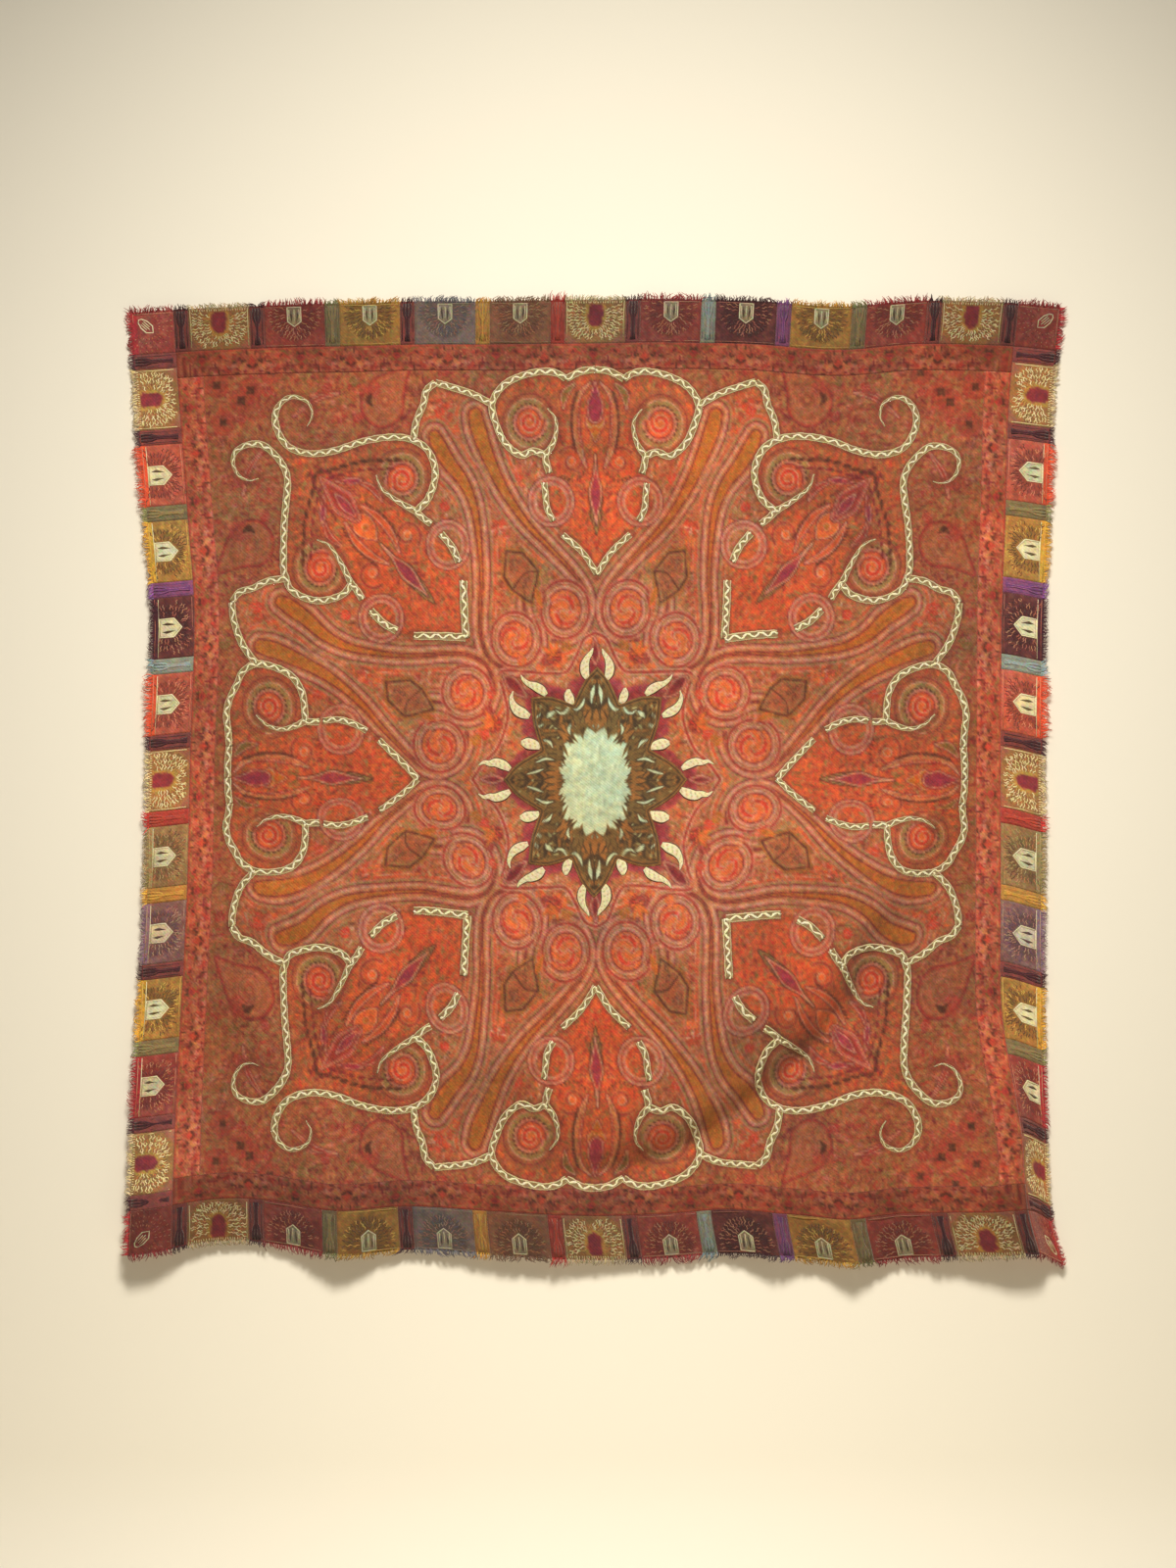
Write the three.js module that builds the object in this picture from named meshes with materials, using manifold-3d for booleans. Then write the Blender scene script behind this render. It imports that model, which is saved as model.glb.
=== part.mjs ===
// A square Kashmir shawl of fine wool twill, embroidered and pieced, hung by its top edge.
// Millimetres, +Z up. The cloth hangs in front of the plane y = 0 and its front faces -Y.
// The origin is the middle of the top edge, at the back of the cloth, where it is held.
// Every piece is cut flat, with u across from the middle line and v down from the top edge,
// and one surface, made from the tables below, gives each flat point its place in space.

import * as THREE from 'three';
import { mergeVertices } from 'three/addons/utils/BufferGeometryUtils.js';
import Module from 'manifold-3d';

const wasm = await Module();
wasm.setup();

// Driving dimensions of the flat cut
const CLOTH_WIDTH = 1806;
const CLOTH_DROP = 1848;
const WALL = 1.5;
const SEAM_GAP = 0.3;
const BORDER = 84;
const INNER_BORDER = 51;
const WIDE_BLOCKS = 11;
const WIDE_IN_ROW = 118;
const WIDE_IN_COLUMN = 120;
const LONGEST_CELL = 62;
const GROOVE_WIDTH = 3;
const GROOVE_DEPTH = 0.7;

// Medallion, a star of eight leaves in the middle of the field: its upper right quarter, from
// the upright leaf's tip to the level one's
const MEDALLION_DROP = 929;
const STAR_CUT = 120;
const LEAF_BULGE = 9;
const STAR_QUARTER = [
  { name: 'upright tip', across: 0, up: 218 },
  { name: 'steep notch', across: 46, up: 146 },
  { name: 'slanting tip', across: 130, up: 158 },
  { name: 'low notch', across: 108, up: 58 },
  { name: 'level tip', across: 182, up: 0 },
];
const STAR_FIT = 110;

// Fringe, a narrow woven strip past the edge with loose strands standing out of it
const STRIP_WIDTH = 2;
const STRANDS_PER_SIDE = 42;
const STRAND_WIDTH = 7;
const STRAND_LENGTH = 14;
const STRAND_UNEVEN = 5;
const STRAND_LEAN = 3;
const STRAND_TIP_WIDTH = 1.6;
const STRAND_TIP_WALL = 0.8;

// The cloth's outline from the front, as each edge's place across by its drop below the top
const SIDE_EDGES = [
  { drop: 0, left: -903, right: 903 },
  { drop: 180, left: -890, right: 884 },
  { drop: 410, left: -871, right: 874 },
  { drop: 600, left: -857, right: 866 },
  { drop: 850, left: -865, right: 864 },
  { drop: 1150, left: -871, right: 864 },
  { drop: 1420, left: -886, right: 865 },
  { drop: 1620, left: -895, right: 872 },
  { drop: 1760, left: -899, right: 882 },
  { drop: 1848, left: -901, right: 905 },
];

// The heights of the top edge and of the hem, by the place across
const LEVEL_EDGES = [
  { across: -903, top: -25, hem: -1845 },
  { across: -700, top: -14, hem: -1822 },
  { across: -490, top: -7, hem: -1845 },
  { across: -357, top: -4, hem: -1839 },
  { across: -205, top: -3, hem: -1847 },
  { across: 0, top: 0, hem: -1858 },
  { across: 137, top: 1, hem: -1855 },
  { across: 289, top: -2, hem: -1845 },
  { across: 479, top: -13, hem: -1861 },
  { across: 631, top: -2, hem: -1851 },
  { across: 745, top: -4, hem: -1845 },
  { across: 821, top: -8, hem: -1841 },
  { across: 903, top: -15, hem: -1870 },
];

// Where the cloth stands off the wall. All are in the flat cut, with y as a distance to the front.
const REST_DEPTH = 11;
const REST_REACH = 260;
const FIXING_SPACING = CLOTH_WIDTH / 8;
const FIXING_SAG = 5;
const FIXING_REACH = 150;

// Bellies, where slack cloth bulges and drops back steeply below
const BELLIES = [
  { name: 'main swag', u: 60, v: 1440, turn: 4, across: 330, above: 560, below: 195, depth: 78, power: 3.2 },
  { name: 'right swag', u: 370, v: 1240, turn: -42, across: 300, above: 330, below: 168, depth: 50, power: 4.4 },
  { name: 'left hollow', u: -560, v: 1230, turn: 18, across: 300, above: 330, below: 220, depth: 14, power: 2.6 },
  { name: 'upper left', u: -420, v: 520, turn: 24, across: 300, above: 260, below: 300, depth: 8, power: 2.4 },
  { name: 'upper right', u: 470, v: 470, turn: -20, across: 280, above: 240, below: 280, depth: 7, power: 2.4 },
];

// Folds, each along a bent route from its start to its end, with its height there and midway
const FOLDS = [
  { name: 'swag foot', from: [566, 1222], first: [500, 1440], second: [230, 1700], to: [-95, 1690],
    start: -8, middle: -24, end: -6, left: 40, right: 30 },
  { name: 'left pull', from: [-720, 650], first: [-660, 520], second: [-590, 380], to: [-520, 250],
    start: 3, middle: 8, end: 2, left: 44, right: 60 },
  { name: 'left cross', from: [-690, 690], first: [-590, 740], second: [-470, 780], to: [-350, 790],
    start: 4, middle: 6, end: 1, left: 40, right: 52 },
  { name: 'left low', from: [-760, 1240], first: [-690, 1370], second: [-610, 1520], to: [-520, 1640],
    start: 3, middle: 10, end: 5, left: 62, right: 48 },
  { name: 'left lower', from: [-640, 1130], first: [-520, 1190], second: [-420, 1300], to: [-330, 1450],
    start: 2, middle: 7, end: 3, left: 52, right: 44 },
  { name: 'right pull', from: [560, 1180], first: [650, 1050], second: [710, 930], to: [760, 760],
    start: 8, middle: 9, end: 2, left: 60, right: 46 },
  { name: 'right long', from: [742, 560], first: [752, 700], second: [742, 860], to: [770, 1040],
    start: 2, middle: 7, end: 3, left: 50, right: 40 },
  { name: 'right low', from: [660, 1300], first: [640, 1430], second: [590, 1540], to: [520, 1680],
    start: 4, middle: 11, end: 6, left: 58, right: 46 },
  { name: 'centre soft', from: [-200, 1000], first: [-120, 1080], second: [40, 1130], to: [190, 1120],
    start: 2, middle: 6, end: 2, left: 52, right: 66 },
  { name: 'top soft', from: [210, 210], first: [230, 330], second: [200, 450], to: [140, 560],
    start: 2, middle: 5, end: 1, left: 46, right: 46 },
];

// Flutes, which grow down to the hem
const FLUTES = [
  { name: 'left corner', at: -866, lean: 30, width: 74, reach: 520, depth: 42 },
  { name: 'left peak', at: -495, lean: -60, width: 70, reach: 340, depth: 38 },
  { name: 'broad', at: -120, lean: 20, width: 150, reach: 300, depth: 20 },
  { name: 'right peak', at: 340, lean: 30, width: 58, reach: 280, depth: 30 },
  { name: 'far peak', at: 486, lean: 40, width: 50, reach: 400, depth: 38 },
  { name: 'far small', at: 640, lean: 20, width: 34, reach: 190, depth: 9 },
];

// The right side near the hem, where the edge turns back to the wall and shows narrower
const CURL = { from: 1330, to: 1848, fade: 330, ridge: 108, inside: 120, outside: 52,
  depth: 50, shift: 30, inward: 260 };

const HALF = CLOTH_WIDTH / 2;

// Reads a column of a table between its rows, on a smooth curve through them.
function between(rows, key, column, wanted) {
  const last = rows.length - 1;
  const place = THREE.MathUtils.clamp(wanted, rows[0][key], rows[last][key]);
  let low = 0;
  while (low < last - 1 && rows[low + 1][key] < place) {
    low += 1;
  }
  const slope = (i) => {
    const before = rows[Math.max(i - 1, 0)];
    const after = rows[Math.min(i + 1, last)];
    return (after[column] - before[column]) / (after[key] - before[key]);
  };
  const span = rows[low + 1][key] - rows[low][key];
  const t = (place - rows[low][key]) / span;
  const rise = 3 * t ** 2 - 2 * t ** 3;
  return rows[low][column] * (1 - rise) + rows[low + 1][column] * rise
    + span * (t ** 3 - 2 * t ** 2 + t) * slope(low)
    + span * (t ** 3 - t ** 2) * slope(low + 1);
}

function bell(distance, spread) {
  return Math.exp(-((distance / spread) ** 2));
}

function bellyDepth(belly, u, v) {
  const turn = THREE.MathUtils.degToRad(belly.turn);
  const across = (u - belly.u) * Math.cos(turn) + (v - belly.v) * Math.sin(turn);
  const down = (v - belly.v) * Math.cos(turn) - (u - belly.u) * Math.sin(turn);
  const reach = down > 0 ? belly.below : belly.above;
  return belly.depth * Math.exp(-(Math.hypot(across / belly.across, down / reach) ** belly.power));
}

const foldRoutes = FOLDS.map((fold) => {
  const corners = [fold.from, fold.first, fold.second, fold.to];
  const route = new THREE.CubicBezierCurve(...corners.map(([u, v]) => new THREE.Vector2(u, v)));
  return route.getPoints(24);
});

// A fold's height falls off to each side of its route, as seen on the way from start to end.
function foldDepth(fold, route, u, v) {
  let nearest = { distance: Infinity };
  for (let i = 0; i < route.length - 1; i += 1) {
    const step = route[i + 1].clone().sub(route[i]);
    const offset = new THREE.Vector2(u, v).sub(route[i]);
    const t = THREE.MathUtils.clamp(offset.dot(step) / step.lengthSq(), 0, 1);
    const distance = offset.distanceTo(step.clone().multiplyScalar(t));
    if (distance < nearest.distance) {
      const along = (i + t) / (route.length - 1);
      nearest = { distance, along, isLeft: offset.x * step.y - offset.y * step.x > 0 };
    }
  }
  const { distance, along, isLeft } = nearest;
  const height = fold.start * (1 - along) * (1 - 2 * along)
    + fold.middle * 4 * along * (1 - along)
    + fold.end * along * (2 * along - 1);
  return height * bell(distance, isLeft ? fold.left : fold.right);
}

function fluteDepth(flute, u, v) {
  const grown = Math.max(0, 1 - (CLOTH_DROP - v) / flute.reach);
  return flute.depth * grown ** 1.5 * bell(u - flute.at - flute.lean * (1 - grown), flute.width);
}

function curlShare(v) {
  return THREE.MathUtils.smoothstep(v, CURL.from, CURL.from + CURL.fade);
}

// The distance of the cloth's back from the wall
function depthAt(u, v) {
  const slack = REST_DEPTH * (1 - bell(v, REST_REACH));
  const sag = FIXING_SAG * Math.sin(Math.PI * u / FIXING_SPACING) ** 2 * bell(v, FIXING_REACH);
  const fromRidge = u - (HALF - CURL.ridge);
  const curl = CURL.depth * curlShare(v) * bell(fromRidge, fromRidge > 0 ? CURL.outside : CURL.inside);
  const bellies = BELLIES.reduce((sum, belly) => sum + bellyDepth(belly, u, v), 0);
  const folds = FOLDS.reduce((sum, fold, i) => sum + foldDepth(fold, foldRoutes[i], u, v), 0);
  const flutes = FLUTES.reduce((sum, flute) => sum + fluteDepth(flute, u, v), 0);
  return slack + sag + curl + bellies + folds + flutes;
}

function backPoint(u, v) {
  const share = u / CLOTH_WIDTH + 0.5;
  const left = between(SIDE_EDGES, 'drop', 'left', v);
  const right = between(SIDE_EDGES, 'drop', 'right', v);
  const top = between(LEVEL_EDGES, 'across', 'top', u);
  const hem = between(LEVEL_EDGES, 'across', 'hem', u);
  const inside = HALF - BORDER - u;
  const pull = inside > 0 ? bell(inside, CURL.inward) : 1 + inside / BORDER;
  const across = left + (right - left) * share + CURL.shift * curlShare(v) * pull;
  return new THREE.Vector3(across, -depthAt(u, v), top + (hem - top) * v / CLOTH_DROP);
}

function frontPoint(u, v) {
  const step = 2;
  const alongU = backPoint(u + step, v).sub(backPoint(u - step, v));
  const alongV = backPoint(u, v + step).sub(backPoint(u, v - step));
  const outward = alongV.cross(alongU).normalize();
  return backPoint(u, v).addScaledVector(outward, WALL);
}

// Splits each stretch between neighbouring marks evenly, so that no cell is too long.
function splitMarks(marks) {
  const lines = [marks[0]];
  for (let i = 1; i < marks.length; i += 1) {
    const span = marks[i] - marks[i - 1];
    const parts = Math.ceil(span / LONGEST_CELL);
    for (let k = 1; k <= parts; k += 1) {
      lines.push(marks[i - 1] + span * k / parts);
    }
  }
  return lines;
}

// The seams of one side, from the start corner's inner seam: narrow, wide, narrow, ... narrow
function blockSeams(length, wide) {
  const inner = length - 2 * BORDER;
  const narrow = (inner - WIDE_BLOCKS * wide) / (WIDE_BLOCKS + 1);
  const seams = [BORDER];
  for (let i = 0; i < WIDE_BLOCKS; i += 1) {
    seams.push(seams.at(-1) + narrow);
    seams.push(seams.at(-1) + wide);
  }
  seams.push(length - BORDER);
  return seams;
}

const rowSeams = blockSeams(CLOTH_WIDTH, WIDE_IN_ROW).map((u) => u - HALF);
const columnSeams = blockSeams(CLOTH_DROP, WIDE_IN_COLUMN);
const fieldLeft = -HALF + BORDER + INNER_BORDER;
const fieldTop = BORDER + INNER_BORDER;
const fieldBottom = CLOTH_DROP - fieldTop;
const ascending = (a, b) => a - b;
const uLines = splitMarks([-HALF, fieldLeft, ...rowSeams, -fieldLeft, HALF].sort(ascending));
const vLines = splitMarks([0, fieldTop, ...columnSeams, fieldBottom, CLOTH_DROP].sort(ascending));

// Every piece lies on one lattice of flat facets, so neighbours meet exactly at their seams.
const lattice = uLines.map((u) => vLines.map((v) => ({
  back: backPoint(u, v),
  front: frontPoint(u, v),
})));

function cellOf(lines, place) {
  let i = 0;
  while (i < lines.length - 2 && lines[i + 1] <= place) {
    i += 1;
  }
  return { i, t: (place - lines[i]) / (lines[i + 1] - lines[i]) };
}

// A point of the cloth, with thick 0 on its back and 1 on its front
function clothPoint(u, v, thick) {
  const a = cellOf(uLines, u);
  const b = cellOf(vLines, v);
  const corner = (i, k) => lattice[i][k].back.clone().lerp(lattice[i][k].front, thick);
  const upper = corner(a.i, b.i).lerp(corner(a.i + 1, b.i), a.t);
  const lower = corner(a.i, b.i + 1).lerp(corner(a.i + 1, b.i + 1), a.t);
  return upper.lerp(lower, b.t);
}

function solidMesh(name, points, triangles, colour) {
  const geometry = new THREE.BufferGeometry();
  geometry.setAttribute('position', new THREE.Float32BufferAttribute(points.flatMap((p) => p.toArray()), 3));
  geometry.setIndex(triangles);
  geometry.computeVertexNormals();
  const material = new THREE.MeshStandardMaterial({ color: colour, roughness: 0.9, metalness: 0 });
  const mesh = new THREE.Mesh(geometry, material);
  mesh.name = name;
  return mesh;
}

// Closes the sheet between two layers of grid points, front and back, with a rim all round.
function closedSheet(across, down, pointOf) {
  const points = [];
  const triangles = [];
  for (const thick of [0, 1]) {
    for (let i = 0; i < across.length; i += 1) {
      for (let k = 0; k < down.length; k += 1) {
        points.push(pointOf(across[i], down[k], thick));
      }
    }
  }
  const layer = across.length * down.length;
  const index = (i, k, thick) => thick * layer + i * down.length + k;
  const quad = (a, b, c, d) => triangles.push(a, b, c, a, c, d);
  for (let i = 0; i < across.length - 1; i += 1) {
    for (let k = 0; k < down.length - 1; k += 1) {
      quad(index(i, k, 1), index(i, k + 1, 1), index(i + 1, k + 1, 1), index(i + 1, k, 1));
      quad(index(i, k, 0), index(i + 1, k, 0), index(i + 1, k + 1, 0), index(i, k + 1, 0));
    }
  }
  const lastI = across.length - 1;
  const lastK = down.length - 1;
  for (let i = 0; i < lastI; i += 1) {
    quad(index(i, 0, 0), index(i, 0, 1), index(i + 1, 0, 1), index(i + 1, 0, 0));
    quad(index(i, lastK, 1), index(i, lastK, 0), index(i + 1, lastK, 0), index(i + 1, lastK, 1));
  }
  for (let k = 0; k < lastK; k += 1) {
    quad(index(0, k, 1), index(0, k, 0), index(0, k + 1, 0), index(0, k + 1, 1));
    quad(index(lastI, k, 0), index(lastI, k, 1), index(lastI, k + 1, 1), index(lastI, k + 1, 0));
  }
  return { points, triangles, index, quad };
}

function linesWithin(lines, low, high, extra) {
  const inner = lines.filter((line) => line > low + 1 && line < high - 1);
  return [low, ...inner, ...extra, high].sort(ascending);
}

// One cut piece of cloth, half a seam gap inside its box, with a groove along the seam it holds
function clothPanel(name, box, colour, seam = {}) {
  const inset = SEAM_GAP / 2;
  const left = box.left > -HALF ? box.left + inset : box.left;
  const right = box.right < HALF ? box.right - inset : box.right;
  const top = box.top > 0 ? box.top + inset : box.top;
  const bottom = box.bottom < CLOTH_DROP ? box.bottom - inset : box.bottom;
  const grooveLines = (at) => (at === undefined ? [] : [at - GROOVE_WIDTH / 2, at + GROOVE_WIDTH / 2]);
  const across = linesWithin(uLines, left, right, grooveLines(seam.u));
  const down = linesWithin(vLines, top, bottom, grooveLines(seam.v));
  const isSeam = (u, v) => (seam.u !== undefined && Math.abs(u - seam.u) < 0.01)
    || (seam.v !== undefined && Math.abs(v - seam.v) < 0.01);
  const pointOf = (u, v, thick) => {
    const share = isSeam(u, v) ? 1 - GROOVE_DEPTH / WALL : 1;
    return clothPoint(u, v, thick * share);
  };
  const sheet = closedSheet(across, down, pointOf);
  return solidMesh(name, sheet.points, sheet.triangles, colour);
}

function solidOf(mesh) {
  const bare = mesh.geometry.clone();
  bare.deleteAttribute('normal');
  bare.deleteAttribute('uv');
  const merged = mergeVertices(bare);
  const vertProperties = Float32Array.from(merged.attributes.position.array);
  const triVerts = Uint32Array.from(merged.index.array);
  return new wasm.Manifold(new wasm.Mesh({ numProp: 3, vertProperties, triVerts }));
}

function meshOf(solid, name, colour) {
  const { vertProperties, triVerts } = solid.getMesh();
  const points = [];
  for (let i = 0; i < vertProperties.length; i += 3) {
    points.push(new THREE.Vector3().fromArray(vertProperties, i));
  }
  return solidMesh(name, points, Array.from(triVerts), colour);
}

// The star's outline round its middle: one quarter from the table, mirrored both ways, with
// each leaf's sides bulging out a little
function starPrism(scale) {
  const upper = STAR_QUARTER.map(({ across, up }) => [across, up]);
  const lower = upper.slice(0, -1).reverse().map(([across, up]) => [across, -up]);
  const rightHalf = [...upper, ...lower];
  const leftHalf = rightHalf.slice(1, -1).reverse().map(([across, up]) => [-across, up]);
  const corners = [...rightHalf, ...leftHalf].map(([x, z]) => new THREE.Vector2(x, z));
  const outline = corners.flatMap((corner, i) => {
    const next = corners[(i + 1) % corners.length];
    const middle = corner.clone().lerp(next, 0.5);
    const outward = middle.clone().normalize().multiplyScalar(LEAF_BULGE);
    return [corner, middle.add(outward)];
  });
  const shape = new THREE.Shape(outline.map((point) => point.multiplyScalar(scale)));
  const prism = new THREE.ExtrudeGeometry(shape, { depth: STAR_CUT, bevelEnabled: false, steps: 1 });
  prism.rotateX(Math.PI / 2);
  const centre = clothPoint(0, MEDALLION_DROP, 0);
  prism.translate(centre.x, 0, centre.z);
  return new THREE.Mesh(prism);
}

// A strand's length and lean change from one to the next in a fixed uneven way.
function strandTip(i) {
  return {
    length: STRAND_LENGTH + STRAND_UNEVEN * Math.sin(i * 2.4) * Math.cos(i * 0.7),
    lean: STRAND_LEAN * Math.sin(i * 1.9 + 0.6),
  };
}

// One side's fringe: placeOf gives the flat point at a place along the edge and past it.
function fringe(name, length, edgeLines, placeOf, colour) {
  const pitch = length / STRANDS_PER_SIDE;
  const strands = Array.from({ length: STRANDS_PER_SIDE }, (_, i) => {
    const centre = (i + 0.5) * pitch;
    return { from: centre - STRAND_WIDTH / 2, to: centre + STRAND_WIDTH / 2, ...strandTip(i) };
  });
  const isClear = (line) => strands.every(({ from, to }) => line < from - 1 || line > to + 1);
  const marks = [0, length, ...strands.flatMap(({ from, to }) => [from, to])];
  const along = [...marks, ...edgeLines.filter((line) => line > 1 && line < length - 1 && isClear(line))];
  along.sort(ascending);
  const past = [SEAM_GAP, SEAM_GAP + STRIP_WIDTH];
  const pointOf = (place, out, thick) => clothPoint(...placeOf(place, out), thick);
  const sheet = closedSheet(along, past, pointOf);
  const triangles = sheet.triangles;
  strands.forEach((strand) => {
    const cell = along.indexOf(strand.from);
    const root = [
      sheet.index(cell, 1, 0), sheet.index(cell + 1, 1, 0),
      sheet.index(cell + 1, 1, 1), sheet.index(cell, 1, 1),
    ];
    const rim = triangles.findIndex((_, t) => t % 6 === 0
      && root.every((corner) => triangles.slice(t, t + 6).includes(corner)));
    triangles.splice(rim, 6);
    const middle = (strand.from + strand.to) / 2 + strand.lean;
    const reach = SEAM_GAP + STRIP_WIDTH + strand.length;
    const thin = STRAND_TIP_WALL / WALL / 2;
    const first = sheet.points.length;
    for (const [side, thick] of [[-1, 0.5 - thin], [1, 0.5 - thin], [1, 0.5 + thin], [-1, 0.5 + thin]]) {
      sheet.points.push(pointOf(middle + side * STRAND_TIP_WIDTH / 2, reach, thick));
    }
    for (let k = 0; k < 4; k += 1) {
      const next = (k + 1) % 4;
      sheet.quad(root[k], root[next], first + next, first + k);
    }
    sheet.quad(first, first + 1, first + 2, first + 3);
  });
  return solidMesh(name, sheet.points, triangles, colour);
}

// The cloth colours, by name
const COLOURS = {
  field: 0x9c4528,
  centre: 0xc3c39a,
  hashia: 0x93402a,
  cream: 0xb9a877,
  crimson: 0x87262b,
  red: 0xa5342a,
  gold: 0xa87f2c,
  blue: 0x6f6f74,
  brown: 0x7d5a3d,
  maroon: 0x4f1f2a,
  olive: 0x86744a,
  purple: 0x6d5a63,
  fringe: 0x93403a,
};

// The wide blocks of each side, clockwise: the top from the left, the right side from the top
const BLOCK_COLOURS = {
  top: ['cream', 'crimson', 'gold', 'blue', 'brown', 'cream', 'crimson', 'maroon', 'gold', 'crimson', 'cream'],
  right: ['cream', 'red', 'gold', 'maroon', 'red', 'cream', 'olive', 'purple', 'gold', 'crimson', 'cream'],
  bottom: ['cream', 'crimson', 'gold', 'maroon', 'crimson', 'cream', 'brown', 'blue', 'gold', 'crimson', 'cream'],
  left: ['cream', 'crimson', 'gold', 'purple', 'olive', 'cream', 'red', 'maroon', 'gold', 'red', 'cream'],
};

const shawl = new THREE.Group();

// The field, with the star cut out of it, and the star itself a seam gap smaller
const fieldBox = { left: fieldLeft, right: -fieldLeft, top: fieldTop, bottom: fieldBottom };
const uncut = solidOf(clothPanel('uncut', fieldBox, COLOURS.field));
shawl.add(meshOf(uncut.subtract(solidOf(starPrism(1))), 'field', COLOURS.field));
const starInGap = solidOf(starPrism(1 - SEAM_GAP / STAR_FIT));
shawl.add(meshOf(uncut.intersect(starInGap), 'medallion', COLOURS.centre));

// The inner border's four strips, the upright ones between the level ones
const rowEdge = HALF - BORDER;
const innerBorders = {
  top: { left: -rowEdge, right: rowEdge, top: BORDER, bottom: fieldTop },
  right: { left: -fieldLeft, right: rowEdge, top: fieldTop, bottom: fieldBottom },
  bottom: { left: -rowEdge, right: rowEdge, top: fieldBottom, bottom: CLOTH_DROP - BORDER },
  left: { left: -rowEdge, right: fieldLeft, top: fieldTop, bottom: fieldBottom },
};
for (const [side, box] of Object.entries(innerBorders)) {
  shawl.add(clothPanel(`inner_border_${side}`, box, COLOURS.hashia));
}

// The border blocks go round clockwise. A block is one wide piece and the narrow one before it,
// and each corner piece has the last narrow one of the side that runs into it.
const SIDES = [
  { side: 'top', corner: 'top_right', seams: rowSeams, isRow: true, isForward: true },
  { side: 'right', corner: 'bottom_right', seams: columnSeams, isRow: false, isForward: true },
  { side: 'bottom', corner: 'bottom_left', seams: rowSeams, isRow: true, isForward: false },
  { side: 'left', corner: 'top_left', seams: columnSeams, isRow: false, isForward: false },
];

function borderBox({ side, isRow }, from, to) {
  const low = Math.min(from, to);
  const high = Math.max(from, to);
  if (isRow) {
    const top = side === 'top' ? 0 : CLOTH_DROP - BORDER;
    return { left: low, right: high, top, bottom: top + BORDER };
  }
  const left = side === 'left' ? -HALF : HALF - BORDER;
  return { left, right: left + BORDER, top: low, bottom: high };
}

for (const row of SIDES) {
  const seams = row.isForward ? row.seams : [...row.seams].reverse();
  const grooveAt = (place) => (row.isRow ? { u: place } : { v: place });
  for (let i = 0; i < WIDE_BLOCKS; i += 1) {
    const number = String(i + 1).padStart(2, '0');
    const box = borderBox(row, seams[2 * i], seams[2 * i + 2]);
    const colour = COLOURS[BLOCK_COLOURS[row.side][i]];
    shawl.add(clothPanel(`block_${row.side}_${number}`, box, colour, grooveAt(seams[2 * i + 1])));
  }
  const lastSeam = seams.at(-1);
  const outerEdge = lastSeam + (row.isForward ? BORDER : -BORDER);
  const cornerBox = borderBox(row, seams.at(-2), outerEdge);
  shawl.add(clothPanel(`corner_${row.corner}`, cornerBox, COLOURS.crimson, grooveAt(lastSeam)));
}

// The fringe of each side, past the cloth's edge, anticlockwise so that its faces point out
const acrossPlaces = uLines.map((u) => u + HALF);
const fromFarEnd = (places, length) => places.map((place) => length - place).reverse();
const fringes = [
  { side: 'top', length: CLOTH_WIDTH, lines: fromFarEnd(acrossPlaces, CLOTH_WIDTH),
    placeOf: (s, out) => [HALF - s, -out] },
  { side: 'right', length: CLOTH_DROP, lines: fromFarEnd(vLines, CLOTH_DROP),
    placeOf: (s, out) => [HALF + out, CLOTH_DROP - s] },
  { side: 'bottom', length: CLOTH_WIDTH, lines: acrossPlaces,
    placeOf: (s, out) => [s - HALF, CLOTH_DROP + out] },
  { side: 'left', length: CLOTH_DROP, lines: vLines,
    placeOf: (s, out) => [-HALF - out, s] },
];
for (const { side, length, lines, placeOf } of fringes) {
  shawl.add(fringe(`fringe_${side}`, length, lines, placeOf, COLOURS.fringe));
}

export default shawl;
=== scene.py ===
"""A square Kashmir shawl of fine wool, pieced and embroidered, hung on a wall by its top edge.

Every piece is laid out flat, in millimetres, with u across from the middle line and v down from
the top edge. One surface gives each flat place its point in space. The field's design is painted
in code from tables of its lines, and each point of the cloth takes its thread colour from it.
"""

import math

import bpy
import numpy as np
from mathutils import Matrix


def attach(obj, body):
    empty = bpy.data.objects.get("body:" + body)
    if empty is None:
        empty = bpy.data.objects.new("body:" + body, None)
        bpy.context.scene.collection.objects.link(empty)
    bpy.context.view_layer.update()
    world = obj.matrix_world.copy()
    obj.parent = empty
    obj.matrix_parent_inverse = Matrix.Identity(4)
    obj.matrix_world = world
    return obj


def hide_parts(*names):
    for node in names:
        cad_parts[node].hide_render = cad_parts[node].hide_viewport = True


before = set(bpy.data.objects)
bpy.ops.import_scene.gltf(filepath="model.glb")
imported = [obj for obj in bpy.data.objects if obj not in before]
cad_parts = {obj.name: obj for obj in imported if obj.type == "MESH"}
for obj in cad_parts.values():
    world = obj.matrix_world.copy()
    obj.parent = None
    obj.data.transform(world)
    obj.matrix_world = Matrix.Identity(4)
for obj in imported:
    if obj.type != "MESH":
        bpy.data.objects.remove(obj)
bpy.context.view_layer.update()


def table(columns, *rows):
    """Short rows of values under named columns."""
    return [dict(zip(columns.split(), row, strict=True)) for row in rows]


# One seed of random draws for each kind of work
SEEDS = {"fill": 11, "fill over": 12, "inner border": 7, "blocks": 19, "fringe": 23, "ribbons": 29,
         "flames": 37, "medallion": 43}

# The flat cut, in millimetres
CLOTH_WIDTH = 1806.0
CLOTH_DROP = 1848.0
HALF = CLOTH_WIDTH / 2
WALL = 1.5
SEAM_GAP = 0.3
BORDER = 84.0
INNER_BORDER = 51.0
WIDE_BLOCKS = 11
WIDE_IN_ROW = 118.0
WIDE_IN_COLUMN = 120.0
MEDALLION_DROP = 929.0

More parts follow.
